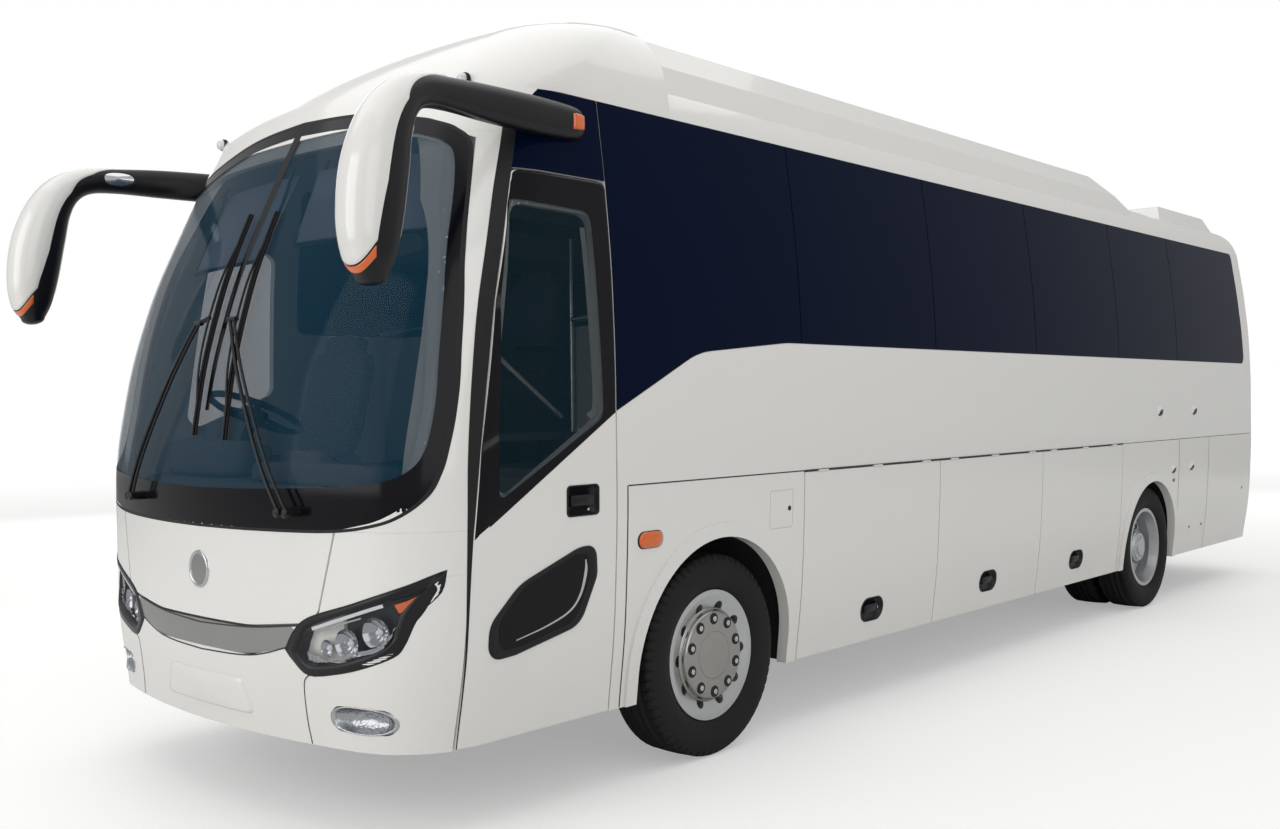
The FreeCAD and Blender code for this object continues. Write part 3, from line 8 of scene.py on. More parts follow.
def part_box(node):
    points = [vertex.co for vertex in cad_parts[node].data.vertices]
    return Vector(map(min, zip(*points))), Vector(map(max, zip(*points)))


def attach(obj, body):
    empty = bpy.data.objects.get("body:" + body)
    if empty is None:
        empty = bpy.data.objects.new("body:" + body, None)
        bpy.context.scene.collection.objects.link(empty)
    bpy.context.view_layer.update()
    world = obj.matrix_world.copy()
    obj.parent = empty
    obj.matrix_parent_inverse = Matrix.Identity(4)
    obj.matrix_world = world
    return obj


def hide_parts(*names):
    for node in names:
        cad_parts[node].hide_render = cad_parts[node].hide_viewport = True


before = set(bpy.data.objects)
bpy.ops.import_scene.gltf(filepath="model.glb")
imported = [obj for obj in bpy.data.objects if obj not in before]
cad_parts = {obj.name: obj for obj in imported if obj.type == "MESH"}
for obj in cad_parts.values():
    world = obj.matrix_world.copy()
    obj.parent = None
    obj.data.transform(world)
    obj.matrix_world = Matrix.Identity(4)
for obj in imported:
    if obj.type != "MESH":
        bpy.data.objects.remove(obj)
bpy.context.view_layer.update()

# ---------------- place, light and camera
# The coach stands on a plain pale floor under a wide soft ceiling of light, with a lower
# panel of light on each side. The camera is at eye height, ahead of the passenger side.
AXLE_Y = {"front": 1.903, "rear": 7.250}  # how far behind the nose plane each axle stands
hub_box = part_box("rim_front_left")
nose_y = (hub_box[0][1] + hub_box[1][1]) / 2 - AXLE_Y["front"]

camera = bpy.data.objects.new("camera", bpy.data.cameras.new("camera"))
bpy.context.scene.collection.objects.link(camera)
bpy.context.scene.camera = camera
camera.data.lens = 35.70
camera.data.sensor_width = 36
yaw, pitch, roll = (math.radians(angle) for angle in (41.996, -0.624, -0.641))
ahead = Vector((-math.sin(yaw) * math.cos(pitch), math.cos(yaw) * math.cos(pitch), math.sin(pitch)))
level = Vector((math.cos(yaw), math.sin(yaw), 0))
over = level.cross(ahead)
camera_right = level * math.cos(roll) + over * math.sin(roll)
camera_up = over * math.cos(roll) - level * math.sin(roll)
turned = Matrix((camera_right, camera_up, -ahead)).transposed().to_4x4()
camera.matrix_world = Matrix.Translation((4.838, nose_y - 2.650, 1.639)) @ turned

LIGHTS_AIM = Vector((0, 0, 1.5))
for lamp_name, at, size, power in (
    ("light_ceiling", (0, -1, 9), 14, 430),
    ("light_door_side", (12, -9, 6), 9, 260),
    ("light_front", (-3, -14, 5), 8, 390),
    ("light_driver_side", (-12, 3, 6), 9, 210),
    ("light_tail", (2, 14, 6), 8, 190),
):
    panel = bpy.data.lights.new(lamp_name, "AREA")
    panel.size = size
    panel.energy = power
    lamp = bpy.data.objects.new(lamp_name, panel)
    lamp.rotation_euler = (LIGHTS_AIM - Vector(at)).to_track_quat("-Z", "Y").to_euler()
    lamp.location = at
    lamp.visible_glossy = lamp_name != "light_tail"  # else it shows as a pale patch in the rear panes
    bpy.context.scene.collection.objects.link(lamp)
bpy.context.scene.view_settings.view_transform = "Standard"


class Shade:
    """A shader socket that takes part in Python sums: each operator adds its Math node."""

    def __init__(self, tree, socket=None):
        self.tree = tree
        self.socket = socket

    def node(self, kind, settings=(), out=0, **values):
        """Adds a node: its settings first, then a value or link for each named or numbered socket."""
        made = self.tree.nodes.new("ShaderNode" + kind)
        for name, setting in settings:
            setattr(made, name, setting)
        for name, value in values.items():
            self.join(made.inputs[int(name[1:]) if name[1:].isdigit() else name.replace("_", " ")], value)
        return Shade(self.tree, made.outputs[out])

    def join(self, entry, value):
        """Links a socket to an entry, or sets the entry to a plain value."""
        if isinstance(value, Shade):
            self.tree.links.new(value.socket, entry)
        elif hasattr(value, "__len__") and len(value) == 3 and entry.type == "RGBA":
            entry.default_value = (*value, 1)
        else:
            entry.default_value = value

    def math(self, operation, first, second=0.0):
        """One Math node on two values."""
        return self.node("Math", [("operation", operation)], i0=first, i1=second)

    def __add__(self, other):
        return self.math("ADD", self, other)

    def __sub__(self, other):
        return self.math("SUBTRACT", self, other)

    def __rsub__(self, other):
        return self.math("SUBTRACT", other, self)

    def __mul__(self, other):
        return self.math("MULTIPLY", self, other)

    def __truediv__(self, other):
        return self.math("DIVIDE", self, other)

    def __lt__(self, other):
        return self.math("LESS_THAN", self, other)

    def clipped(self):
        """The value held between 0 and 1."""
        return self.node("Clamp", i0=self)

    __radd__ = __add__
    __rmul__ = __mul__

    def noise(self, scale, detail=3.0):
        """Soft random values between 0 and 1, scale to the metre."""
        return self.node("TexNoise", i0=self.here(), Scale=scale, Detail=detail)

    def here(self):
        """The place on the object, in metres."""
        return self.node("TexCoord", out=3)

    def axis(self, number):
        """One coordinate of that place: 0 across, 1 along, 2 up."""
        return self.node("SeparateXYZ", out=number, i0=self.here())

    def mix(self, share, first, second):
        """A colour share of the way from first to second."""
        return self.node("Mix", [("data_type", "RGBA")], out=2, i0=share, i6=first, i7=second)


def finish(name, colour, roughness, **constants):
    """A material with a plain Principled shader: returns it with its sums and its shader's entries."""
    material = bpy.data.materials.new(name)
    material.use_nodes = True
    shader = material.node_tree.nodes["Principled BSDF"]
    shader.inputs["Base Color"].default_value = (*colour, 1)
    shader.inputs["Roughness"].default_value = roughness
    for entry, value in constants.items():
        shader.inputs[entry.replace("_", " ")].default_value = value
    return material, Shade(material.node_tree), shader.inputs


GLOW_STARTS, GLOW_GROWS = 7.0, 18.0  # the seen floor grows paler over these metres, so that it ends in white
FLOOR_EDGE = 40
floor_finish, sums, entries = finish("pale_floor", (0.72, 0.72, 0.71), 0.7, Emission_Strength=1.0)
away = sums.node("VectorMath", [("operation", "LENGTH")], out=1, i0=sums.here())
glow = sums.mix(((away - GLOW_STARTS) / GLOW_GROWS).clipped(), (0.34,) * 3, (0.66,) * 3)
sums.join(entries["Emission Color"], sums.mix(sums.node("LightPath"), (0, 0, 0), glow))
floor = bpy.data.objects.new("floor", bpy.data.meshes.new("floor"))
floor_corners = [(x * FLOOR_EDGE, y * FLOOR_EDGE, 0) for x, y in ((-1, -1), (1, -1), (1, 1), (-1, 1))]
floor.data.from_pydata(floor_corners, [], [(0, 1, 2, 3)])
floor.data.materials.append(floor_finish)
bpy.context.scene.collection.objects.link(floor)

world = bpy.data.worlds.new("studio")
world.use_nodes = True
bpy.context.scene.world = world
sky = Shade(world.node_tree)
path = sky.node("LightPath")
seen = sky.math("MAXIMUM", path, Shade(sky.tree, path.socket.node.outputs["Is Transmission Ray"]))
backdrop = world.node_tree.nodes["Background"].inputs
sky.join(backdrop["Color"], (1.0, 1.0, 1.0))
sky.join(backdrop["Strength"], seen * 0.5 + 0.5)

# ---------------- painted body
# Steel and moulded panels in warm white gloss enamel under clear coat. Each panel is its own
# CAD node; the paint has a faint orange peel and a little road film towards the skirt.


def dress(finish_made, *names):
    """Gives CAD nodes their finish."""
    for name in names:
        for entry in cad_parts[name].material_slots:
            entry.material = finish_made


def grained(name, colour, roughness, grain, depth, spread=0.12, **constants):
    """A finish whose colour and gloss drift softly, with a fine grained surface of a given depth."""
    material, sums, entries = finish(name, colour, roughness, **constants)
    drift = sums.noise(2.5)
    darker = tuple(c * (1 - spread) for c in colour)
    sums.join(entries["Base Color"], sums.mix(drift, darker, colour))
    fine = sums.noise(grain, 4.0)
    sums.join(entries["Roughness"], (fine * 0.3 + 0.85) * roughness)
    sums.join(entries["Normal"], sums.node("Bump", i0=1.0, Distance=depth, Height=fine))
    return material


enamel, sums, entries = finish(
    "white_enamel", (0.80, 0.795, 0.775), 0.22, Coat_Weight=0.6, Coat_Roughness=0.04, Specular_IOR_Level=0.5
)
FILM_TOP = 0.85  # road film settles below this height
film = (FILM_TOP - sums.axis(2)).clipped() * 0.5 * sums.noise(3.0) + sums.noise(0.8) * 0.06
sums.join(entries["Base Color"], sums.mix(film.clipped(), (0.84, 0.83, 0.80), (0.60, 0.57, 0.51)))
peel = sums.noise(260.0, 2.0)
sums.join(entries["Roughness"], film * 0.35 + 0.16)
sums.join(entries["Normal"], sums.node("Bump", i0=0.35, Distance=0.0002, Height=peel))
dress(
    enamel, "side_wall_left", "side_wall_right", "roof_shell", "front_roof_cap", "roof_fairings",
    "air_conditioner", "rear_roof_cap", "roof_hatch", "windscreen_frame", "front_lid", "front_corner_panels",
    "front_bumper", "lower_side_panels", "arch_flares", "rear_wall", "engine_door", "rear_bumper", "door_leaf",
    "mirrors",
    *(f"locker_{side}_{number}" for side in ("left", "right") for number in (1, 2, 3))
)

# ---------------- bonded glass
# Toughened side panes in deep privacy tint, black printed at their edges, and a laminated
# windscreen in pale blue-green tint. All are bonded flush with the panels round them.


def pane(name, colour, clear, **constants):
    """Tinted glass: the shader's colour shows over whatever a share clear of the view lets through."""
    material, sums, entries = finish(name, colour, 0.03, **{"Specular_IOR_Level": 0.3, **constants})
    sums.join(entries["Alpha"], sums.noise(1.2) * 0.03 + (1 - clear))
    material.surface_render_method = "BLENDED"
    return material, sums, entries


privacy_glass, sums, entries = pane(
    "privacy_glass", (0.002, 0.006, 0.024), 0.05, IOR=1.2, Specular_IOR_Level=0.2
)
driver_pane = (sums.axis(0) < -0.9) * (sums.axis(1) < nose_y + 1.2)  # this one is tinted less than the others
sums.join(entries["Alpha"], 0.95 - driver_pane * 0.62 + sums.noise(1.2) * 0.03)
screen_glass = pane("screen_glass", (0.008, 0.048, 0.085), 0.62, IOR=1.25)[0]
door_tint = pane("door_glass_tint", (0.006, 0.024, 0.036), 0.60, IOR=1.25)[0]
dress(privacy_glass, "side_glass", "rear_window")
dress(screen_glass, "windscreen")
dress(door_tint, "door_glass")

# ---------------- running gear and hidden metal
# Frame rails, axles and arms are in satin black chassis paint and rims in silver. The hold is lined
# with bare sheet. Rubber and plain black mouldings are here too, because all later sections use them.
WHEELS = [f"{end}_{side}" for end in ("front", "rear") for side in ("left", "right")]
chassis_black = grained("chassis_black", (0.03, 0.03, 0.032), 0.5, 90.0, 0.0006)
dress(chassis_black, "chassis_frame", "front_axle", "rear_axle", "knuckle_left", "knuckle_right",
      "engine_block", "front_lid_arms", "door_arm")
liner_black = grained("liner_black", (0.022, 0.022, 0.023), 0.85, 160.0, 0.001)
dress(liner_black, "wheel_housings")
hold_sheet = grained("hold_sheet", (0.42, 0.43, 0.44), 0.38, 60.0, 0.0004, Metallic=0.8)
dress(hold_sheet, "luggage_hold")
wheel_silver = grained("wheel_silver", (0.60, 0.61, 0.62), 0.3, 120.0, 0.0002, Metallic=0.85)
dress(wheel_silver, *(f"rim_{wheel}" for wheel in WHEELS))
satin_silver = grained("satin_silver", (0.34, 0.34, 0.335), 0.32, 200.0, 0.0001, Metallic=0.75)
dress(satin_silver, "trim_strip")
black_rubber = grained("black_rubber", (0.008, 0.008, 0.009), 0.55, 220.0, 0.0003, Specular_IOR_Level=0.35)
dress(black_rubber, "wipers", "steering_wheel")
trim_black = grained("trim_black", (0.006, 0.006, 0.008), 0.32, 300.0, 0.0002, Specular_IOR_Level=0.35)

# ---------------- saloon and lamp plastics
# Vinyl covered boards, a grey moulded dashboard, pale racks and woven seat covers. The lamps' lenses
# are amber, red and clear plastic, and the tyres are plain black rubber.
floor_vinyl = grained("floor_vinyl", (0.16, 0.155, 0.15), 0.6, 140.0, 0.0004)
dress(floor_vinyl, "saloon_floor", "entry_steps")
moulded_grey = grained("moulded_grey", (0.16, 0.165, 0.18), 0.6, 420.0, 0.0004)
dress(moulded_grey, "dashboard")
pale_trim = grained("pale_trim", (0.50, 0.50, 0.49), 0.55, 300.0, 0.0003)
dress(pale_trim, "luggage_racks")
woven_cover = grained("woven_cover", (0.10, 0.115, 0.17), 0.9, 500.0, 0.001)
dress(woven_cover, "driver_seat", "passenger_seats")
amber_lens = grained("amber_lens", (0.80, 0.14, 0.008), 0.15, 40.0, 0.0004, Coat_Weight=0.8)
red_lens = grained("red_lens", (0.42, 0.01, 0.012), 0.12, 40.0, 0.0004, Coat_Weight=0.8)
clear_lens = grained("clear_lens", (0.7, 0.72, 0.74), 0.08, 40.0, 0.0002, Coat_Weight=0.8)
dress(amber_lens, "marker_lamps")
dress(red_lens, "rear_lamps")
dress(clear_lens, "front_lamps")
tyre_rubber = grained("tyre_rubber", (0.010, 0.010, 0.010), 0.75, 90.0, 0.0008, 0.3, Specular_IOR_Level=0.35)
dress(tyre_rubber, *(f"tyre_{wheel}" for wheel in WHEELS))

# ---------------- painted shade in the joints between panels
# Where neighbouring panels meet, the shade in the gap between them is painted as a thin dark line. Each
# line is a narrow ribbon on the body's skin, which is a bowed nose, tight corners and straight sides.
HALF_WIDTH, TAIL_Y = 1.245, 9.600
CORNER, TAIL_CORNER = 0.380, 0.300  # radii of the front and rear corners in plan
BOW = 3.900  # radius of the nose in plan
section_z = np.array([0.340, 0.760, 1.284, 1.700, 2.100, 2.500, 2.895])
side_drawn_in = np.array([0.066, 0.020, 0.0, 0.0, 0.012, 0.045, 0.095])
nose_drawn_back = np.array([0.042, 0.006, 0.008, 0.066, 0.178, 0.350, 0.545])


def eased(values, z):
    """A monotone cubic through one column of the body's sections: harmonic mean slopes at each height."""
    step = np.diff(section_z)
    rise = np.diff(values) / step
    both_ways = rise[:-1] * rise[1:]
    inner = np.where(both_ways > 0, 2 * both_ways / np.where(both_ways > 0, rise[:-1] + rise[1:], 1), 0)
    slope = np.concatenate([rise[:1], inner, rise[-1:]])
    i = np.clip(np.searchsorted(section_z, z) - 1, 0, len(step) - 1)
    t = (z - section_z[i]) / step[i]
    ends = values[i] * (2 * t**3 - 3 * t**2 + 1) + values[i + 1] * (3 * t**2 - 2 * t**3)
    return ends + step[i] * ((t**3 - 2 * t**2 + t) * slope[i] + (t**3 - t**2) * slope[i + 1])


def corner_start(z):
    """The centre of a plan section's corner arc, x and y behind the nose plane, and its bow's centre, as y."""
    centre_x = HALF_WIDTH - eased(side_drawn_in, z) - CORNER
    bow_y = eased(nose_drawn_back, z) + BOW
    return centre_x, bow_y - np.sqrt((BOW - CORNER) ** 2 - centre_x**2), bow_y


def arc(reach, radius):
    """How far a corner's arc stands out when the place is some way along it: a circle's other side."""
    return np.sqrt(np.maximum(radius**2 - np.maximum(reach, 0) ** 2, 0))


def on_side(y, z, lift=0.0):
    """Points on the left side, y behind the nose plane: straight flanks that turn in an arc at the corner."""
    centre_x, centre_y, _ = corner_start(z)
    x = centre_x + arc(centre_y - y, CORNER) + lift
    return np.stack([x, y + nose_y, z], -1)


def on_nose(x, z, lift=0.0):
    """Points on the front: a wide bow that turns in an arc at each corner."""
    centre_x, centre_y, bow_y = corner_start(z)
    reach = np.abs(x)
    bow = bow_y - np.sqrt(BOW**2 - reach**2)
    turn = centre_y - arc(reach - centre_x, CORNER)
    y = np.where(reach < centre_x * BOW / (BOW - CORNER), bow, turn) - lift
    return np.stack([x + 0 * z, y + nose_y, z + 0 * x], -1)


def on_tail(x, z, lift=0.0):
    """Points on the rear wall: flat, and turning in an arc at each corner."""
    tail_z = np.array([0.340, 0.760, 1.700, 2.100, 2.500, 2.895])
    turn = arc(np.abs(x) - (HALF_WIDTH - eased(side_drawn_in, z) - TAIL_CORNER), TAIL_CORNER)
    y = TAIL_Y - np.interp(z, tail_z, [0.040, 0, 0, 0.005, 0.025, 0.060]) + turn + lift
    return np.stack([x + 0 * z, y + nose_y, z + 0 * x], -1)


def curve(points, count):
    """A smooth curve through points: Catmull-Rom cubics, sampled evenly in each span."""
    p = np.asarray(points, float)
    run = np.concatenate([2 * p[:1] - p[1:2], p, 2 * p[-1:] - p[-2:-1]])
    spans = len(run) - 3
    t = np.linspace(0, spans, count)
    i = np.minimum(t.astype(int), spans - 1)
    t = (t - i)[:, None]
    a, b, c, d = (run[i + k] for k in range(4))
    return b + 0.5 * t * (c - a + t * (2 * a - 5 * b + 4 * c - d + t * (3 * (b - c) + d - a)))


def ribbon(path, width, skin, lift):
    """A flat path widened evenly to both sides in its own plane, then placed on a skin."""
    path = np.asarray(path, float)
    along = np.gradient(path, axis=0)
    along /= np.linalg.norm(along, axis=1, keepdims=True)
    sideways = np.stack([-along[:, 1], along[:, 0]], -1)
    reach = np.linspace(0.5, -0.5, 3)[:, None, None] * np.asarray(width)[..., None]
    flat = path + reach * sideways
    return skin(flat[..., 0], flat[..., 1], lift)


def straight(*corners, step=0.06):
    """A path of straight runs between corners, with points about a step apart."""
    runs = []
    for a, b in zip(corners[:-1], corners[1:]):
        count = max(2, int(math.dist(a, b) / step) + 1)
        runs.append(np.linspace(a, b, count, endpoint=False))
    return np.concatenate(runs + [np.array(corners[-1:], float)])


def mirrored(grid):
    """The same grid on the other side, its rows reversed so that it still faces outwards."""
    return grid[::-1] * np.array([-1, 1, 1])


def pair(*grids):
    """The grids with their mirror images."""
    return list(grids) + [mirrored(grid) for grid in grids]


def piece(name, grids, made_of, body="coach", replaces=(), flat=False):
    """One object from point grids, in which four neighbouring points make a quad."""
    points, faces, start = [], [], 0
    for grid in grids:
        rows, columns = grid.shape[:2]
        index = np.arange(rows * columns).reshape(rows, columns) + start
        quads = np.stack([index[:-1, :-1], index[1:, :-1], index[1:, 1:], index[:-1, 1:]], -1)
        faces.append(quads.reshape(-1, 4))
        points.append(grid.reshape(-1, 3))
        start += rows * columns
    mesh = bpy.data.meshes.new(name)
    mesh.from_pydata(np.concatenate(points).tolist(), [], np.concatenate(faces).tolist())
    mesh.polygons.foreach_set("use_smooth", np.full(len(mesh.polygons), not flat))
    mesh.materials.append(made_of)
    obj = bpy.data.objects.new(name, mesh)
    bpy.context.scene.collection.objects.link(obj)
    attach(obj, body)
    if replaces:
        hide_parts(*replaces)
    return obj


SEAM_LIFT = 0.0006
WAIST, SKIRT = 1.284, 0.345  # heights at which the lower panels end
gap_shade = grained("painted_gap_shade", (0.03, 0.03, 0.03), 0.6, 300.0, 0.0002)
# Each line is painted shade in a gap between panels; over the locker hinges it is wider and stands higher.
gap_shade_lines = [ribbon(straight((2.553, WAIST), (6.627, WAIST)), 0.008, on_side, 0.0035)]  # over the locker hinges
for start, end, width in (
    ((1.262, WAIST), (2.553, WAIST), 0.006), ((6.627, WAIST), (TAIL_Y, WAIST), 0.004),
    ((1.260, SKIRT), (1.260, WAIST), 0.007), ((7.800, SKIRT), (7.800, WAIST), 0.004),
    ((8.500, SKIRT), (8.500, WAIST), 0.004),
):
    gap_shade_lines.append(ribbon(straight(start, end), width, on_side, SEAM_LIFT))
for edge, count, width in (
    ([(0.682, 0.612), (0.655, 0.585), (0.648, 0.52), (0.650, 0.42), (0.662, 0.342)], 24, 0.005),
    ([(0, 0.751), (0.35, 0.766), (0.64, 0.797)], 30, 0.006),
    ([(0, 0.639), (0.35, 0.655), (0.60, 0.715)], 30, 0.006),
):
    gap_shade_lines.append(ribbon(curve(edge, count), width, on_nose, SEAM_LIFT))
piece("panel_gap_shades", pair(*gap_shade_lines), gap_shade)

# ---------------- windscreen surround
# The laminated screen is bonded in from outside. A black ceramic print hides the glue round its
# edge, deep below, and a thin rubber bead fills the gap to the paint. A black bar stands at its middle.
SCREEN_EDGE = [
    (0, 1.150), (0.4, 1.153), (0.8, 1.163), (1.0, 1.190), (1.10, 1.230), (1.165, 1.300), (1.190, 1.385),
    (1.199, 1.480), (1.203, 1.613), (1.198, 1.790), (1.168, 2.072), (1.10, 2.430), (1.045, 2.640),
    (0.97, 2.715), (0.87, 2.755), (0.75, 2.787), (0.4, 2.850), (0, 2.874),
]
PRINT_EDGE = [
    (0, 1.305), (0.4, 1.312), (0.8, 1.328), (0.98, 1.342), (1.07, 1.362), (1.125, 1.400), (1.152, 1.455),
    (1.162, 1.530), (1.165, 1.640), (1.158, 1.790), (1.128, 2.065), (1.060, 2.420), (1.005, 2.600),
    (0.94, 2.665), (0.85, 2.700), (0.74, 2.728), (0.4, 2.790), (0, 2.812),
]
PRINT_LIFT = 0.0004
ceramic_print = grained("ceramic_print", (0.004, 0.004, 0.006), 0.14, 30.0, 0.00002, Specular_IOR_Level=0.2)


def between_curves(outer, inner, count, skin, lift, across=6):
    """A strip between two curves of count points each, on a skin, with a lift that may follow x."""
    outer, inner = curve(outer, count), curve(inner, count)
    flat = outer + np.linspace(0, 1, across)[:, None, None] * (inner - outer)
    x = flat[..., 0]
    return skin(x, flat[..., 1], lift(x) if callable(lift) else lift)


printed = between_curves(SCREEN_EDGE, PRINT_EDGE, 180, on_nose, PRINT_LIFT, 9)[::-1]
middle_bar = ribbon(straight((0, 2.86), (0, 1.62)), np.linspace(0.055, 0.030, 22), on_nose, PRINT_LIFT)
piece("screen_print", pair(printed) + [middle_bar], ceramic_print)
screen_bead = ribbon(curve(SCREEN_EDGE, 180), 0.012, on_nose, 0.0010)
piece("screen_bead", pair(screen_bead), black_rubber)

# ---------------- door surround
# A broad rubber seal stands between the corner pillar and the door's leading edge. The same seal
# ends the side glass by the driver, on the other side of the coach.
PILLAR_LINE = [
    (0.388, 0.345), (0.397, 0.70), (0.397, 1.029), (0.398, 1.229), (0.406, 1.461), (0.442, 1.790),
    (0.498, 2.073), (0.605, 2.432), (0.693, 2.677), (0.712, 2.730),
]
DOOR_LINE = [
    (0.392, 0.345), (0.405, 0.70), (0.416, 1.029), (0.430, 1.229), (0.457, 1.461), (0.505, 1.790),
    (0.560, 2.073), (0.662, 2.432), (0.742, 2.677), (0.760, 2.730),
]
door_seal = between_curves(PILLAR_LINE, DOOR_LINE, 60, on_side, 0.0012, 4)
piece("door_front_seal", pair(door_seal), black_rubber)

# ---------------- mirrors
# Each arm and head is one black moulding that runs forward from the roof corner and turns down:
# its sections are superellipses. A white cover, an amber lamp and the glass lie on that surface.
MIRROR_ROWS = np.array([  # centre x, y, z, degrees turned down, width, depth
    (1.165, 1.080, 2.768, 0, 0.070, 0.090), (1.185, 1.020, 2.766, 0, 0.092, 0.140),
    (1.205, 0.820, 2.762, 0, 0.100, 0.156), (1.238, 0.520, 2.756, 0, 0.104, 0.148),
    (1.272, 0.290, 2.748, 4, 0.116, 0.128), (1.292, 0.150, 2.732, 20, 0.138, 0.132),
    (1.305, 0.050, 2.680, 48, 0.166, 0.160), (1.315, -0.020, 2.580, 74, 0.192, 0.196),
    (1.324, -0.065, 2.430, 87, 0.210, 0.232), (1.330, -0.090, 2.260, 92, 0.204, 0.224),
    (1.334, -0.097, 2.130, 94, 0.172, 0.176), (1.336, -0.092, 2.060, 95, 0.116, 0.104),
])
LAST_ROW = len(MIRROR_ROWS) - 1
COVER_THICK = (0.003, 0.0045)  # the moulding is drawn in by this, across and along, to make room for its covers
mirror_line = curve(MIRROR_ROWS, 100 * LAST_ROW + 1)


def boxy(value, power):
    """A sine or cosine flattened by a power, so that a circle turns into a superellipse."""
    return np.sign(value) * np.abs(value) ** power


def mirror_skin(station, turn, lift=0.0):
    """Points at stations along the mirror's line and degrees round it, 0 outwards and 90 to the front."""
    stations = np.linspace(0, LAST_ROW, len(mirror_line))
    x, y, z, down, wide, deep = (np.interp(station, stations, column) for column in mirror_line.T)
    down, turn = np.radians(down), np.radians(turn)
    across = (wide / 2 - COVER_THICK[0] + lift) * boxy(np.cos(turn), 0.82)
    along = (deep / 2 - COVER_THICK[1] + lift) * boxy(np.sin(turn), 0.82)
    return np.stack([x + across, y - along * np.sin(down) + nose_y, z + along * np.cos(down)], -1)


def raised(rows, columns, height):
    """The lift of a thin cover over a grid: its height, but sunk at all four edges."""
    lift = np.full((rows, columns), height)
    lift[[0, -1]] = lift[:, [0, -1]] = -0.0015
    return lift


def mesh_grid(rows, columns):
    """Shares from 0 to 1 down the rows and along the columns of a grid."""
    return np.meshgrid(np.linspace(0, 1, rows), np.linspace(0, 1, columns), indexing="ij")


def cover_foot(turn):
    """The station at which a white cover ends: later in front than at the sides."""
    return 10.35 - 1.0 * (1 - np.clip(np.sin(np.radians(turn)), 0, 1))


down_line, round_line = mesh_grid(90, 49)
moulding = mirror_skin(down_line * LAST_ROW, round_line * -360)
share, turn = mesh_grid(8, 49)
foot_ring = mirror_skin(np.full_like(turn, LAST_ROW), turn * -360)
foot_middle = foot_ring[0, :-1].mean(0)
foot = foot_middle + (foot_ring - foot_middle) * np.cos(share * math.pi / 2)[..., None]
foot[..., 2] -= 0.028 * np.sin(share * math.pi / 2)
piece("mirror_mouldings", pair(moulding, foot), trim_black, replaces=("mirrors",))

down_cover, round_cover = mesh_grid(70, 31)
low = np.interp(down_cover, [0, 0.15, 0.4, 0.8, 1], [74, 40, 0, 2, 14])
high = np.interp(down_cover, [0, 0.15, 0.4, 0.8, 1], [112, 160, 190, 188, 176])
turn = high + (low - high) * round_cover
cover = mirror_skin(4.0 + down_cover * (cover_foot(turn) - 4.0), turn, raised(70, 31, 0.004))
piece("mirror_covers", pair(cover), enamel)
down_lamp, round_lamp = mesh_grid(9, 31)
turn = 168 - 152 * round_lamp
amber_part = mirror_skin(cover_foot(turn) + 0.04 + down_lamp * 0.40, turn, raised(9, 31, 0.003))
piece("mirror_indicators", pair(amber_part), amber_lens)
silvering = grained("silvering", (0.75, 0.78, 0.80), 0.04, 30.0, 0.00005, Metallic=1.0)
down_glass, round_glass = mesh_grid(24, 15)
glass = mirror_skin(6.6 + down_glass * 3.1, 308 - 76 * round_glass, raised(24, 15, 0.002))
piece("mirror_glasses", pair(glass), silvering)
share, around = mesh_grid(7, 33)
around = around * 2 * math.pi


def arm_oval(share, lift):
    """Points over the oval mirror that lies on the inner face of the driver's arm."""
    reach = 1 - share
    return mirror_skin(4.10 + 0.46 * reach * np.cos(around), 176 + 27 * reach * np.sin(around), lift)


piece("oval_mirror", [mirrored(arm_oval(0.12 + 0.88 * share, 0.006 + 0.004 * share))], silvering)
oval_rim = arm_oval(share * 0.20 - 0.08, 0.010 * np.sin(share * math.pi) - 0.001)
piece("oval_mirror_frame", [mirrored(oval_rim)], black_rubber)
down_lamp, round_lamp = mesh_grid(12, 9)
arm_lamp = mirror_skin(0.75 + down_lamp * 0.55, 24 - 48 * round_lamp, raised(12, 9, 0.010))
piece("mirror_arm_lamps", pair(arm_lamp), amber_lens)

# ---------------- headlamps and fog lamps
# A black bezel rings each clear lens. Behind it a dark bowl holds chrome reflectors, a row of
# white daytime lights along the top and an amber corner. The fog lamps are chrome ovals.
LAMP_TOP = [(0.566, 0.700), (0.619, 0.779), (0.699, 0.834), (0.913, 0.900), (1.101, 0.968), (1.197, 1.022)]
LAMP_FOOT = [
    (0.566, 0.700), (0.604, 0.662), (0.682, 0.613), (0.823, 0.631), (0.951, 0.665), (1.053, 0.708),
    (1.092, 0.751), (1.122, 0.824), (1.145, 0.878), (1.181, 0.940), (1.197, 1.022),
]
LENS_TOP = [(0.632, 0.691), (0.655, 0.748), (0.698, 0.799), (0.913, 0.871), (1.113, 0.937), (1.158, 0.960)]
LENS_FOOT = [
    (0.632, 0.691), (0.655, 0.664), (0.695, 0.650), (0.760, 0.656), (0.827, 0.669), (0.920, 0.696),
    (1.008, 0.725), (1.054, 0.757), (1.072, 0.815), (1.096, 0.880), (1.158, 0.960),
]
DISHES = [(0.855, 0.742), (0.985, 0.793), (0.752, 0.716)]
BOWL_DEEP, FACET_DEEP = 0.060, 0.006
lamp_ring = np.concatenate([curve(LAMP_FOOT, 41), curve(LAMP_TOP, 41)[::-1]])
lens_ring = np.concatenate([curve(LENS_FOOT, 41), curve(LENS_TOP, 41)[::-1]])


def in_depth(profile, skin, ring, inner=None):
    """A surface in from an outline: each profile step is the share of the way to an inner one, and a lift."""
    inner = ring[:-1].mean(0) if inner is None else np.asarray(inner)
    rows = [skin(*(ring + share * (inner - ring)).T, lift) for share, lift in profile]
    return np.array(rows)[::-1]


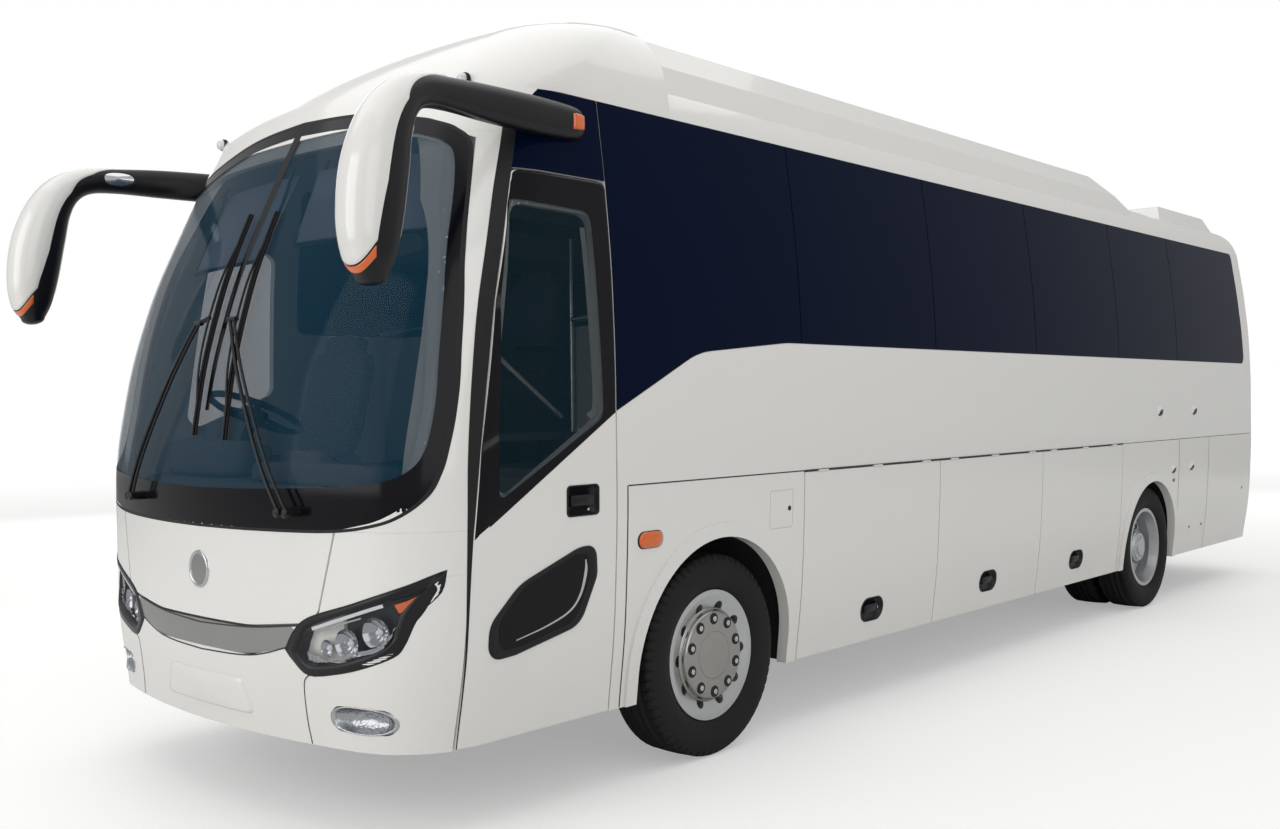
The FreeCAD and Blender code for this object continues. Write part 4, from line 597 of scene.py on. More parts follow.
bezel_profile = [(-0.10, -0.003), (-0.08, 0.0018), (0.5, 0.0030), (0.92, 0.0018), (1.0, -0.003)]
bezel = in_depth(bezel_profile, on_nose, lamp_ring, lens_ring)
piece("headlamp_bezels", pair(bezel), trim_black, replaces=("front_lamps",))
bowl_wall = in_depth([(0, -0.003), (0, -BOWL_DEEP)], on_nose, lens_ring)
bowl_floor = between_curves(LENS_TOP, LENS_FOOT, 41, on_nose, -BOWL_DEEP, 12)
piece("headlamp_bowls", pair(bowl_wall, bowl_floor), trim_black)
clear_cover = pane("clear_cover", (0.16, 0.18, 0.20), 0.90)[0]
lens = between_curves(LENS_TOP, LENS_FOOT, 41, on_nose, 0.001, 12)
piece("headlamp_lenses", pair(lens), clear_cover)
chrome = grained("lamp_chrome", (0.46, 0.47, 0.50), 0.10, 60.0, 0.0004, Metallic=1.0)
fluted_chrome = grained("fluted_chrome", (0.52, 0.53, 0.55), 0.12, 70.0, 0.0040, Metallic=1.0)


def dished(x, z, radius, high, deep, front, steps=12, count=40, petals=0):
    """An oval dish in the nose: half width and height at its rim, depth behind the skin, and its facets."""
    share, turn = mesh_grid(steps, count + 1)
    turn = turn * 2 * math.pi
    reach = 1 - share
    facets = FACET_DEEP * np.abs(np.sin(petals * turn / 2)) * (reach > 0.3) * (reach < 0.97)
    lift = -front - deep * (1 - reach**2) - facets
    return on_nose(x + radius * reach * np.cos(turn), z + high * reach * np.sin(turn), lift)[:, ::-1]


reflectors = [
    dished(*DISHES[0], 0.056, 0.058, 0.034, 0.022, petals=9),
    dished(*DISHES[1], 0.054, 0.058, 0.034, 0.022, petals=9),
    dished(*DISHES[2], 0.030, 0.034, 0.020, 0.026),
]
for top, heel, count, lift in (
    ([(0.72, 0.780), (0.83, 0.818), (0.93, 0.848)], [(0.72, 0.774), (0.83, 0.811), (0.93, 0.842)], 9, -0.018),
    ([(0.655, 0.700), (0.68, 0.690), (0.72, 0.684)], [(0.655, 0.674), (0.69, 0.660), (0.76, 0.664)], 17,
     lambda x: -0.014 - 0.010 * np.abs(np.sin(x * 160))),
    ([(0.80, 0.690), (0.90, 0.716), (1.00, 0.745), (1.05, 0.80)],
     [(0.78, 0.668), (0.92, 0.704), (1.01, 0.735), (1.075, 0.84)], 33,
     lambda x: -0.014 - 0.012 * np.abs(np.sin(x * 110))),
):
    reflectors.append(between_curves(top, heel, count, on_nose, lift))
piece("headlamp_reflectors", pair(*reflectors), chrome)
daylight = grained("daytime_light", (0.70, 0.72, 0.74), 0.25, 90.0, 0.0004, Emission_Strength=0.10,
                   Emission_Color=(1, 1, 1, 1))
daytime = curve([(0.700, 0.789), (0.800, 0.822), (0.913, 0.859), (1.030, 0.898)], 40)
bulbs = [dished(x, z, 0.013, 0.013, -0.016, 0.044, 6, 20) for x, z in DISHES]
piece("daytime_lights", pair(ribbon(daytime, 0.013, on_nose, -0.007), *bulbs), daylight)
corner_top = [(1.070, 0.902), (1.105, 0.916), (1.138, 0.936)]
corner_foot = [(1.084, 0.872), (1.104, 0.886), (1.138, 0.935)]
corner = between_curves(corner_top, corner_foot, 12, on_nose, -0.004)
piece("headlamp_corners", pair(corner), amber_lens)

FOG = np.array([0.914, 0.460])
turn = np.linspace(0, 2 * math.pi, 65)
fog_edge = FOG + np.stack([0.139 * boxy(np.cos(turn), 0.8), 0.052 * boxy(np.sin(turn), 0.8)], -1)
fog_profile = [(-0.02, -0.004), (-0.01, 0.002), (0.05, 0.004), (0.10, 0.001), (0.12, -0.012), (0.45, -0.040),
               (1.0, -0.050)]
piece("fog_lamp_bowls", pair(in_depth(fog_profile, on_nose, fog_edge, FOG)), fluted_chrome)
fog_lens = in_depth([(0.11, -0.003), (0.5, 0.001), (1.0, 0.002)], on_nose, fog_edge, FOG)
piece("fog_lamp_lenses", pair(fog_lens), clear_cover)

# ---------------- tyres
# Highway tyres: four grooves run round the tread, and cross cuts part the shoulder blocks. Each is
# one surface turned about the axle, its tread cut by formula. The rear wheels are twins.
TYRE_SIDE = [(0.0905, 0.288), (0.0935, 0.300), (0.104, 0.309), (0.117, 0.330), (0.1255, 0.360), (0.1275, 0.385),
             (0.1262, 0.405), (0.1235, 0.422), (0.119, 0.437), (0.113, 0.449), (0.106, 0.457), (0.098, 0.462)]
TREAD_HALF = 0.092
GROOVES = (-0.066, -0.022, 0.022, 0.066)
BLOCKS = 64
WHEEL_X, WHEEL_RADIUS = 1.065, 0.465
TWINS = {"front": (0.0,), "rear": (0.0, -0.290)}


def spun(profile, centre, angles, side=1):
    """A grid turned about an axle along x: at each angle, a profile of (out along +x times side, radius)."""
    profile = np.broadcast_to(np.asarray(profile, float), (len(angles),) + np.shape(profile)[-2:])
    out, radius = profile[..., 0], profile[..., 1]
    turn = np.asarray(angles)[:, None]
    x, y, z = centre
    grid = np.stack([x + side * out, y + radius * np.cos(turn), z + radius * np.sin(turn)], -1)
    return grid[::side]


def full_turn(steps):
    """Angles all the way round."""
    return np.linspace(0, 2 * math.pi, steps + 1)


side_line = curve(TYRE_SIDE, 22)
tread_x = [-TREAD_HALF, -0.085, -0.030, 0.0, TREAD_HALF]
for groove in GROOVES:
    tread_x += [groove - 0.0062, groove - 0.0045, groove + 0.0045, groove + 0.0062, groove + 0.015]
tread_x = np.sort(tread_x)
crown = WHEEL_RADIUS - 0.0035 * (tread_x / TREAD_HALF) ** 2
in_groove = np.min(np.abs(tread_x[:, None] - np.array(GROOVES)), 1) < 0.005
tread = np.stack([tread_x, crown - 0.011 * in_groove], -1)
section = np.concatenate([side_line * (-1, 1), tread, side_line[::-1]])
steps = np.array([0.0, 0.16, 0.20, 0.60, 0.96])
tread_turn = ((np.arange(BLOCKS)[:, None] + steps) * 2 * math.pi / BLOCKS).ravel()
tread_turn = np.append(tread_turn, 2 * math.pi)
tyre_grid = np.repeat(section[None], len(tread_turn), 0)
in_cut = np.append(np.tile(steps < 0.18, BLOCKS), True)
high_up = section[:, 1] > 0.440
tyre_grid[..., 1] -= 0.008 * in_cut[:, None] * ((np.abs(section[:, 0]) > 0.074) & high_up)
zigzag = 0.0022 * np.abs((np.arange(len(tread_turn)) % 10) - 5) / 5 - 0.0011
tyre_grid[..., 0] += zigzag[:, None] * ((np.abs(section[:, 0]) < 0.08) & high_up)
for wheel in WHEELS:
    end, side = wheel.split("_")
    sign = 1 if side == "left" else -1
    tyres = [spun(tyre_grid, (sign * (WHEEL_X + shift), nose_y + AXLE_Y[end], WHEEL_RADIUS), tread_turn, sign)
             for shift in TWINS[end]]
    piece(f"road_tyre_{wheel}", tyres, tyre_rubber, f"wheel_{wheel}", replaces=(f"tyre_{wheel}",))

# ---------------- wheel covers and nuts
# Front hubs carry a domed bright cover with a nut in each of ten cups; the cups' hollows are black discs
# of painted shade. Rear hubs lie deep in their dished wheels: a ring of nuts round a drum, closed by a bolted
# cap.
COVER = [(0.080, 0.216), (0.086, 0.2165), (0.090, 0.213), (0.094, 0.2075), (0.106, 0.204), (0.113, 0.199),
         (0.1165, 0.190), (0.1175, 0.150), (0.1175, 0.110), (0.1185, 0.100), (0.1185, 0.0)]
CUP = [(0.1170, 0.0270), (0.1195, 0.0262), (0.1190, 0.0235), (0.1180, 0.021), (0.1180, 0.0)]
DRUM = [(-0.070, 0.128), (-0.020, 0.124), (0.030, 0.120), (0.045, 0.118), (0.052, 0.110), (0.061, 0.106),
        (0.064, 0.100), (0.066, 0.072), (0.074, 0.068), (0.078, 0.060), (0.080, 0.0)]
STUD = [(-0.040, 0.0085), (-0.014, 0.0085), (-0.012, 0.0)]
NUT_RING, CAP_RING = 0.1675, 0.086
bright_steel = grained("bright_steel", (0.66, 0.67, 0.68), 0.2, 14.0, 0.0012, 0.2, Metallic=1.0)
hub_steel = grained("hub_steel", (0.44, 0.43, 0.41), 0.22, 14.0, 0.0012, 0.25, Metallic=1.0)


def hexagon(centre, radius, out, height, side):
    """A six sided nut standing out along the axle, with a bevelled crown."""
    rows = [(out, radius), (out + height * 0.8, radius), (out + height, radius * 0.8), (out + height, 0.0)]
    return spun(rows, centre, full_turn(6), side)


def spaced(hub, radius, count):
    """Places evenly spaced on a circle round a hub."""
    angles = (np.arange(count) + 0.5) * 2 * math.pi / count
    return [(hub[0], hub[1] + radius * math.cos(angle), hub[2] + radius * math.sin(angle)) for angle in angles]


for side, sign in (("left", 1), ("right", -1)):
    body = f"wheel_front_{side}"
    hub = (sign * WHEEL_X, nose_y + AXLE_Y["front"], WHEEL_RADIUS)
    cover = spun(curve(COVER, 60), hub, full_turn(96), sign)
    piece(f"hub_cover_front_{side}", [cover], hub_steel, body)
    # Each cup is a black disc round its nut: painted shade of the cup's hollow.
    cup_shades = [spun(CUP, at, full_turn(24), sign) for at in spaced(hub, NUT_RING, 10)]
    piece(f"nut_cups_front_{side}", cup_shades, trim_black, body)
    nuts = [hexagon(at, 0.0140, 0.118, 0.008, sign) for at in spaced(hub, NUT_RING, 10)]
    piece(f"wheel_nuts_front_{side}", nuts, bright_steel, body, flat=True)

    body = f"wheel_rear_{side}"
    hub = (sign * WHEEL_X, nose_y + AXLE_Y["rear"], WHEEL_RADIUS)
    drum = spun(curve(DRUM, 60), hub, full_turn(72), sign)
    piece(f"hub_drum_rear_{side}", [drum], wheel_silver, body)
    nuts = []
    for at in spaced(hub, NUT_RING, 10):
        nuts += [hexagon(at, 0.0165, -0.060, 0.026, sign), spun(STUD, at, full_turn(12), sign)]
    nuts += [hexagon(at, 0.009, 0.062, 0.008, sign) for at in spaced(hub, CAP_RING, 8)]
    piece(f"wheel_nuts_rear_{side}", nuts, bright_steel, body, flat=True)

# ---------------- passenger door
# The upper door is one glass with a broad black print round a clear middle. The low window sits in a
# thick rubber; a black sheet over its glass is painted shade and a bright streak on it a painted highlight.
# The handle is a black paddle in a framed recess.


def rounded_ring(corners, arc_points=7, run=9):
    """A closed outline of (a, b, radius) corners: an arc at each, then points on the run to the next."""
    points = [np.array(corner[:2], float) for corner in corners]
    arcs = []
    for i, (a, b, radius) in enumerate(corners):
        here = points[i]
        back = points[i - 1] - here
        on = points[(i + 1) % len(points)] - here
        back, on = back / np.linalg.norm(back), on / np.linalg.norm(on)
        half = math.acos(np.clip(back @ on, -1, 1)) / 2
        centre = here + (back + on) / np.linalg.norm(back + on) * radius / math.sin(half)
        start = here + back * radius / math.tan(half) - centre
        end = here + on * radius / math.tan(half) - centre
        first = math.atan2(start[1], start[0])
        sweep = (math.atan2(end[1], end[0]) - first + math.pi) % (2 * math.pi) - math.pi
        turn = first + sweep * np.linspace(0, 1, arc_points)
        arcs.append(centre + radius * np.stack([np.cos(turn), np.sin(turn)], -1))
    ring = []
    for this, following in zip(arcs, arcs[1:] + arcs[:1]):
        ring += [this, np.linspace(this[-1], following[0], run + 2)[1:-1]]
    return np.concatenate(ring + [arcs[0][:1]])


def block_ring(a, b, half_a, half_b, radius, *counts):
    """The outline of a rectangle with rounded corners about a middle."""
    ways = ((-1, -1), (1, -1), (1, 1), (-1, 1))
    return rounded_ring([(a + i * half_a, b + k * half_b, radius) for i, k in ways], *counts)


def evenly(first, last, count, lift):
    """A flat profile for in_depth: many steps at one lift, so that the piece keeps to a bowed skin."""
    return [(share, lift) for share in np.linspace(first, last, count)]


door_edge = rounded_ring([(0.427, 1.128, 0), (1.190, 1.592, 0), (1.190, 2.544, 0.03), (0.702, 2.544, 0.03),
                          (0.554, 2.024, 0), (0.461, 1.463, 0)])
door_clear = rounded_ring([(0.545, 1.265, 0.02), (1.118, 1.572, 0.06), (1.086, 2.415, 0.04),
                           (0.660, 2.427, 0.03), (0.575, 2.024, 0), (0.546, 1.500, 0)])
printed_door = in_depth([(0, -0.003)] + evenly(0, 1, 15, 0.0006), on_side, door_edge, door_clear)
piece("door_print", [printed_door], ceramic_print, "passenger_door")
strip_line = curve([(1.066, 2.350), (1.084, 2.000), (1.099, 1.640), (1.062, 1.575)], 40)
inner_strip = ribbon(strip_line, 0.030, on_side, -0.030)
piece("door_inner_strip", [inner_strip[::-1]], enamel, "passenger_door")

low_ring = rounded_ring([(0.503, 0.662, 0.06), (0.640, 0.670, 0.08), (0.985, 0.738, 0.12), (1.076, 0.930, 0.09),
                         (1.064, 1.052, 0.05), (0.970, 1.050, 0.20), (0.653, 0.938, 0.25),
                         (0.507, 0.802, 0.10)])
rubber_profile = [(-0.02, -0.004), (-0.015, 0.004), (0.03, 0.008), (0.10, 0.0075), (0.14, 0.003),
                  (0.15, -0.003)]
piece("low_window_rubber", [in_depth(rubber_profile, on_side, low_ring)], black_rubber,
      "passenger_door")
# A bright streak on the low window's glass, inside the rubber: a painted highlight.
highlight_line = curve([(0.640, 0.724), (0.800, 0.757), (0.925, 0.800), (0.985, 0.862), (1.012, 0.950),
                    (1.010, 1.000)], 40)
highlight_width = np.interp(np.linspace(0, 1, 40), [0, 0.5, 0.8, 1], [0.004, 0.010, 0.017, 0.006])
piece("low_window_painted_highlight", [ribbon(highlight_line, highlight_width, on_side, 0.002)], bright_steel,
      "passenger_door")
# An opaque black sheet over the low window's glass: painted shade of the space behind it.
piece("low_window_painted_shade", [in_depth(evenly(0.1, 1, 15, 0.0008), on_side, low_ring)], ceramic_print,
      "passenger_door")


def recess(ring, deep, rim):
    """A frame that stands proud round a recess in the side, with the recess's walls and floor."""
    return in_depth([(-0.10, -0.001), (-0.08, rim), (-0.02, rim), (0.02, 0.0), (0.03, -deep), (1.0, -deep)],
                    on_side, ring)


def block(ring, low, high):
    """A low block with rounded shoulders over an outline on the side, from one lift to another."""
    return in_depth([(-0.02, low), (0.0, high - 0.003), (0.06, high), (1.0, high)], on_side, ring)


handle = [recess(block_ring(0.993, 1.240, 0.085, 0.058, 0.018), 0.0165, 0.004),
          block(block_ring(0.993, 1.240, 0.067, 0.022, 0.012), -0.016, 0.001)]
piece("door_handle", handle, trim_black, "passenger_door")
door_lock = block(block_ring(1.038, 1.200, 0.008, 0.008, 0.007), -0.017, -0.010)
piece("door_lock", [door_lock], bright_steel, "passenger_door")

# ---------------- locker handles, scoops and markers
# Each luggage locker has a black oval recess with a lift-up grip and a lock. White air scoops with painted
# shade in their openings, amber markers and red reflectors stand on the sides.
GRIP_Z = 0.507
for number, y in enumerate((3.235, 4.575, 5.886), 1):
    handle = [recess(block_ring(y, GRIP_Z, 0.103, 0.060, 0.059), 0.0165, 0.003),
              block(block_ring(y, GRIP_Z + 0.004, 0.064, 0.022, 0.012), -0.016, -0.0025)]
    lock = [block(block_ring(y + 0.082, GRIP_Z, 0.008, 0.008, 0.007), -0.017, -0.011)]
    for name, grids, made_of, slot in (("handle", handle, trim_black, "rubber_black"),
                                       ("lock", lock, bright_steel, "trim_silver")):
        for side, turned in (("left", grids), ("right", [mirrored(grid) for grid in grids])):
            piece(f"locker_{name}_{side}_{number}", turned, made_of, f"locker_{side}_{number}")

marker_ring = block_ring(1.405, 1.045, 0.074, 0.034, 0.033)
marker_profile = [(-0.02, -0.001), (0.0, 0.006), (0.15, 0.010), (0.5, 0.013), (1, 0.014)]
side_marker = in_depth(marker_profile, on_side, marker_ring)
piece("side_markers", pair(side_marker), amber_lens, replaces=("marker_lamps",))
marker_foot = in_depth([(-0.12, -0.001), (-0.08, 0.003), (0.0, 0.003)], on_side, marker_ring)
piece("side_marker_bases", pair(marker_foot), black_rubber)
scoops, mouth_shades = [], []
for y, z, size in ((7.375, 1.514, 0.060), (8.141, 1.512, 0.060), (7.671, 1.049, 0.050), (8.085, 1.054, 0.050)):
    across_it, up_it = mesh_grid(17, 9)
    angle = across_it * math.pi
    reach = 1 - 0.35 * up_it
    mouth_z = z - size * 0.6
    hood = on_side(y - size * np.cos(angle) * reach, mouth_z + size * 1.3 * np.sin(angle) ** 0.8 * reach,
                   -0.001 + 0.020 * np.sin(up_it * math.pi / 2) * np.sin(angle) ** 0.5)
    scoops.append(hood)
    lip = hood[:, -1]
    # A dark sheet set back under each hood's lip: painted shade in the scoop's opening.
    mouth_shades.append(np.stack([lip, lip * (1, 1, 0) + (0, 0, mouth_z)], 1) - (0.012, 0, 0))
piece("air_scoops", pair(*scoops), enamel)
piece("air_scoop_painted_shades", pair(*mouth_shades), trim_black)
red_ring = block_ring(7.691, 0.9585, 0.021, 0.0135, 0.006, 4, 3)
reflector = in_depth([(0, -0.001), (0.06, 0.004), (1, 0.004)], on_side, red_ring)
piece("side_reflectors", pair(reflector), red_lens)

# ---------------- seats
# Foam seats in woven covers: a cushion, a raked back and a head pad with welted seams, on dark
# plinths with an arm rest. One shape is repeated for every place.
SALOON_FLOOR, CAB_FLOOR = 1.3, 0.9
FIRST_ROW, ROW_PITCH, ROWS = 1.9, 0.82, 9
SEAT = [  # behind the seat's front edge, above the floor, share of the width, half depth, half height, lean
    (0.215, 0.430, 1.00, 0.215, 0.058, -3),
    (0.400, 0.745, 1.00, 0.052, 0.290, 14),
    (0.462, 1.010, 0.62, 0.046, 0.080, 14),
]


def pad(centre, half, lean=0.0, square=0.12, welt=0.0):
    """A stuffed block: a superellipsoid that leans back by some degrees, pressed in along two seams."""
    up, around = mesh_grid(19, 33)
    up, around = (up - 0.5) * math.pi, around * 2 * math.pi
    waist = boxy(np.cos(up), square)
    x, y = waist * boxy(np.cos(around), square), waist * boxy(np.sin(around), square)
    z = boxy(np.sin(up), square)
    pressed = 1 - welt * np.exp(-(((np.abs(x) - 0.72) / 0.06) ** 2))
    y, z = y * pressed * half[1], z * pressed * half[2]
    turn = math.radians(lean)
    grid = [centre[0] + x * half[0], centre[1] + y * math.cos(turn) + z * math.sin(turn) + nose_y,
            centre[2] - y * math.sin(turn) + z * math.cos(turn)]
    return np.stack(grid, -1)[::-1]


def seat_pads(x, y, z, half_width):
    """The three pads of one seat whose cushion starts at y, on a floor at z."""
    return [pad((x, y + behind, z + above), (half_width * share, deep, high), lean, 0.42, 0.05)
            for behind, above, share, deep, high, lean in SEAT]


pads, plinths, rests = [], [], []
for row in range(ROWS):
    for x in (-1.13, 0.23):
        y = FIRST_ROW + row * ROW_PITCH
        for place in (0.225, 0.675):
            pads += seat_pads(x + place, y, SALOON_FLOOR, 0.212)
        plinths.append(pad((x + 0.45, y + 0.23, SALOON_FLOOR + 0.19), (0.37, 0.15, 0.19)))
        for edge in (0.012, 0.888):
            rests.append(pad((x + edge, y + 0.27, SALOON_FLOOR + 0.63), (0.022, 0.17, 0.02), square=0.5))
passenger_pads = piece("passenger_pads", pads, woven_cover, replaces=("passenger_seats",))
piece("passenger_plinths", plinths, chassis_black)
piece("arm_rests", rests, trim_black)
pads = seat_pads(-0.70, 0.76, CAB_FLOOR, 0.245)
piece("driver_pads", pads, woven_cover, replaces=("driver_seat",))
piece("driver_plinth", [pad((-0.70, 0.99, CAB_FLOOR + 0.19), (0.19, 0.15, 0.19))], chassis_black)

# ---------------- cab
# A padded instrument hood and console on the dashboard, grey roller blinds behind the top of the
# screen, pale pillar covers, barriers behind the entrance, and bright grab rails.
BLIND_LIFT, BLIND_TOP = -0.13, 2.66


def tube(path, radius, sides=12):
    """A round bar along a path of points, with y measured from the nose plane."""
    path = np.asarray(path, float)
    along = np.gradient(path, axis=0)
    along /= np.linalg.norm(along, axis=1, keepdims=True)
    first = np.cross(along, (0.3, 0.2, 1.0))
    first /= np.linalg.norm(first, axis=1, keepdims=True)
    second = np.cross(along, first)
    turn = full_turn(sides)[:, None]
    ring = np.cos(turn) * first[:, None] + np.sin(turn) * second[:, None]
    return (path[:, None] + radius * ring)[:, ::-1] + (0, nose_y, 0)


hood = [pad((-0.70, 0.500, 1.385), (0.34, 0.105, 0.090), 8, 0.35),
        pad((0.20, 0.470, 1.335), (0.46, 0.095, 0.050), 6, 0.35),
        pad((-0.20, 0.640, 1.300), (0.17, 0.085, 0.110), 30, 0.3)]
piece("dashboard_hood", hood, moulded_grey)
dials = [pad((x, 0.606, 1.400), (0.075, 0.006, 0.055), 8, 0.3) for x in (-0.80, -0.62)]
dials.append(pad((-0.20, 0.722, 1.340), (0.11, 0.006, 0.06), 30, 0.2))
piece("instrument_faces", dials, ceramic_print)
blind_cloth = grained("blind_cloth", (0.30, 0.31, 0.40), 0.85, 700.0, 0.0004)
blinds, rods = [], []
for low_x, high_x, low_z in ((-0.86, -0.07, 2.27), (0.08, 0.94, 2.32)):
    hem = [(low_x + 0.04, low_z), (high_x - 0.04, low_z)]
    blinds.append(between_curves([(low_x, BLIND_TOP), (high_x, BLIND_TOP)], hem, 14, on_nose, BLIND_LIFT))
    bar = on_nose(*curve(hem, 14).T, BLIND_LIFT) - (0, nose_y, 0)
    rods.append(tube(bar, 0.009))
    for x, y, z in bar[[0, -1]]:
        rods.append(tube(curve([(x, y, z), (x, y + 0.10, 2.50), (x, y + 0.18, 2.70)], 12), 0.006))
piece("sun_blinds", blinds, blind_cloth)
piece("blind_rods", rods, trim_black)
cover_out = [(1.150, 1.40), (1.158, 1.80), (1.120, 2.10), (1.050, 2.42), (1.00, 2.60)]
cover_in = [(1.040, 1.36), (1.045, 1.80), (1.010, 2.10), (0.950, 2.42), (0.90, 2.60)]
pillar_cover = between_curves(cover_in, cover_out, 30, on_nose, -0.085)[::-1]
piece("pillar_covers", pair(pillar_cover), enamel)
barriers = [pad((x, 1.815, 1.66), (half, 0.018, 0.35)) for x, half in ((0.78, 0.40), (-0.68, 0.45))]
piece("barrier_boards", barriers, pale_trim)
rails = [tube(curve(points, count), radius) for points, count, radius in (
    ([(0.98, 0.47, 1.50), (0.99, 0.54, 1.50), (1.00, 0.60, 1.44), (1.00, 0.61, 1.30), (0.99, 0.60, 1.02)],
     40, 0.016),
    ([(0.62, 0.62, 1.02), (0.62, 0.62, 1.33), (0.66, 0.62, 1.40), (0.99, 0.61, 1.42)], 40, 0.014),
    ([(0.42, 1.77, 2.04), (0.80, 1.77, 2.06), (1.12, 1.77, 2.04)], 20, 0.014),
    ([(-0.24, 1.77, 2.04), (-0.70, 1.77, 2.06), (-1.12, 1.77, 2.04)], 20, 0.014),
)]
rails.append(tube([(0.40, 1.79, z) for z in (1.31, 1.7, 2.1, 2.44)], 0.016))
piece("grab_rails", rails, bright_steel)
door_rail = tube(np.linspace((1.115, 0.640, 1.83), (1.115, 1.000, 1.575), 4), 0.013)
piece("door_rail", [door_rail], bright_steel, "passenger_door")

# ---------------- wipers
# Two parallel rods lift each blade: they leave bossed pivots below the screen and meet in a yoke, and a
# thin rubber blade with a sprung spine follows the glass.
ROD_LIFT, SPINE_LIFT, RUBBER_LIFT = 0.050, 0.024, 0.012


def off_nose(x, z, lift):
    """Points ahead of the nose, with y still measured from the nose plane."""
    return on_nose(np.asarray(x, float), np.asarray(z, float), lift) - (0, nose_y, 0)


rods, rubbers = [], []
for pivot, head, heel, tip in (
    ((-0.595, 1.245), (-0.150, 1.984), (-0.043, 1.518), (-0.079, 2.462)),
    ((0.598, 1.230), (0.118, 1.991), (0.190, 1.500), (0.129, 2.453)),
):
    for shift in (0.0, 0.045):
        rod = np.linspace((pivot[0] + shift, pivot[1]), (head[0] + 0.6 * shift, head[1]), 16)
        rods.append(tube(off_nose(*rod.T, ROD_LIFT), 0.0075 - shift * 0.03, 10))
        boss = off_nose(*rod[0], 0.0)
        rods.append(tube(boss - [(0, -0.006, 0), (0, 0.03, 0), (0, 0.062, 0)], 0.017, 16))
        rods.append(pad(boss - (0, 0.060, 0), (0.019, 0.008, 0.019), square=0.9))
    blade = curve([heel, ((heel[0] + tip[0]) / 2, (heel[1] + tip[1]) / 2), tip], 30)
    rods.append(tube(off_nose(*blade.T, SPINE_LIFT), 0.006, 8))
    rubbers.append(tube(off_nose(*blade.T, RUBBER_LIFT), 0.008, 6))
    hump = SPINE_LIFT + 0.022 * np.sin(np.linspace(0, math.pi, 20))
    rods.append(tube(off_nose(*curve(blade[[4, 10, 19, 25]], 20).T, hump), 0.005, 8))
    yoke = [off_nose(head[0] + shift, head[1], ROD_LIFT) for shift in (0.014, -0.012, 0.045)]
    rods.append(tube([off_nose(*blade[15], 0.044), yoke[0]], 0.010, 10))
    rods.append(tube(yoke[1:], 0.010, 10))
piece("wiper_rods", rods, trim_black, replaces=("wipers",))
piece("wiper_blades", rubbers, black_rubber)

# ---------------- small front and side fittings
# Clear marker domes on dark feet at the roof's front corners, a plain disc on the lid, a bare number
# plate plinth, and the rubber plugs along the skirt.
PLUGS = [(2.425, 1.108, 0.013), (7.83, 0.552, 0.012), (8.12, 0.552, 0.012), (8.41, 0.552, 0.012),
         (9.42, 0.80, 0.011)]


def round_ring(a, b, radius, steps=24):
    """A circle as an outline, anticlockwise."""
    turn = full_turn(steps)
    return np.stack([a + radius * np.cos(turn), b + radius * np.sin(turn)], -1)


for name, y, half, square, made_of, slot in (
    ("domes", 0.664, (0.025, 0.022, 0.025), 0.9, clear_lens, "lamp_clear"),
    ("feet", 0.676, (0.029, 0.018, 0.029), 0.8, black_rubber, "rubber_black"),
):
    blobs = [pad((x, y, 2.931), half, square=square) for x in (0.920, -0.920)]
    piece(f"roof_marker_{name}", blobs, made_of)
disc_ring = round_ring(0, 0.969, 0.075, 48)
rim_profile = [(-0.04, -0.001), (0.0, 0.006), (0.08, 0.009), (0.16, 0.006), (0.18, 0.003)]
disc_rim = in_depth(rim_profile, on_nose, disc_ring)
piece("lid_disc_rim", [disc_rim], bright_steel, "front_lid")
disc = in_depth([(0.16, 0.003), (0.5, 0.0035), (1, 0.004)], on_nose, disc_ring)
piece("lid_disc", [disc], satin_silver, "front_lid")
plinth_ring = rounded_ring([(-0.335, 0.415, 0.02), (0.335, 0.415, 0.02), (0.275, 0.552, 0.03),
                            (-0.275, 0.552, 0.03)])
plinth_profile = [(-0.02, -0.001), (0.02, 0.010), (0.10, 0.012), (1, 0.012)]
piece("plate_plinth", [in_depth(plinth_profile, on_nose, plinth_ring, (0, 0.484))], enamel)
plug_profile = [(0, -0.001), (0.1, 0.002), (0.5, 0.0025), (0.6, 0.001), (1, 0.001)]
plugs = [in_depth(plug_profile, on_side, round_ring(*place)) for place in PLUGS]
piece("side_plugs", pair(*plugs), trim_black)

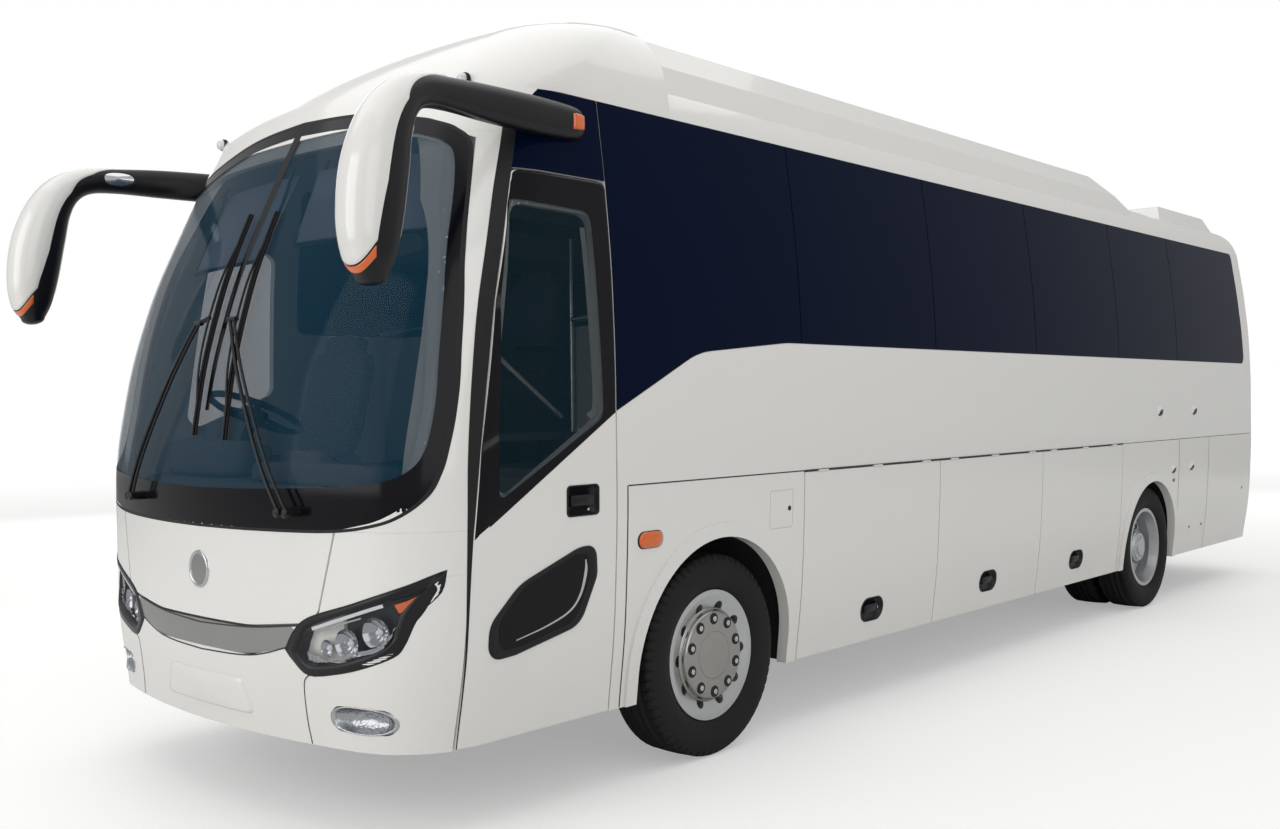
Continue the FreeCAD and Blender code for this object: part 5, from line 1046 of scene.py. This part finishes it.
# ---------------- tail
# Stacked round lamps stand on each corner's red lens. The window is printed black at its edge, a latch
# sits at the foot of the engine door, and a red reflector stands at each end of the bumper.
LAMP_PROFILE = [(-0.10, -0.002), (-0.08, 0.004), (-0.02, 0.005), (0.02, 0.0035), (0.3, 0.008), (0.7, 0.011),
                (1, 0.012)]
for name, made_of, slot, heights in (("stop", red_lens, "lamp_red", (1.235, 1.060)),
                                     ("turn", amber_lens, "lamp_amber", (1.405,)),
                                     ("reverse", clear_lens, "lamp_clear", (0.885,))):
    lamps = [in_depth(LAMP_PROFILE, on_tail, round_ring(1.075, z, 0.072)[::-1]) for z in heights]
    piece(f"rear_{name}_lamps", pair(*lamps), made_of)
frame_out = block_ring(0, 2.36, 1.036, 0.396, 0.088)[::-1]
frame_in = block_ring(0, 2.36, 0.965, 0.325, 0.06)[::-1]
window_print = in_depth([(0, -0.002)] + evenly(0, 1, 3, 0.0006), on_tail, frame_out, frame_in)
piece("rear_window_print", [window_print], ceramic_print)
latch_ring = block_ring(0, 0.764, 0.09, 0.022, 0.012)[::-1]
latch = in_depth([(0, -0.001), (0.03, 0.004), (0.10, 0.005), (1, 0.005)], on_tail, latch_ring)
piece("engine_door_latch", [latch], trim_black, "engine_door")
red_ring = block_ring(0.76, 0.565, 0.06, 0.02, 0.008)[::-1]
reflector = in_depth([(0, -0.001), (0.06, 0.005), (1, 0.005)], on_tail, red_ring)
piece("rear_reflectors", pair(reflector), red_lens)

# ---------------- air conditioner
# Six fans stand in the lid of the unit: a dark well under a round wire guard of four rings and four
# domed spokes.
FAN_RADIUS = 0.205
GUARD_Z, WELL_Z = 3.340, 3.3312
guards, wells = [], []
for x in (-0.31, 0.31):
    for y in (3.25, 4.10, 4.95):
        for radius in (FAN_RADIUS, 0.150, 0.095, 0.040):
            guards.append(tube(np.insert(round_ring(x, y, radius, 36), 2, GUARD_Z, 1), 0.0045, 6))
        for angle in np.arange(4) * math.pi / 4:
            reach = np.array([-0.207, 0.0, 0.207])
            spoke = [x + reach * math.cos(angle), y + reach * math.sin(angle), [3.335, 3.345, 3.335]]
            guards.append(tube(np.stack(spoke, -1), 0.004, 6))
        share, turn = mesh_grid(3, 37)
        reach, turn = (FAN_RADIUS - 0.005) * share, turn * 2 * math.pi
        well = [x + reach * np.cos(turn), y + nose_y + reach * np.sin(turn), np.full_like(turn, WELL_Z)]
        wells.append(np.stack(well, -1))
piece("fan_guards", guards, trim_black)
piece("fan_wells", wells, liner_black)
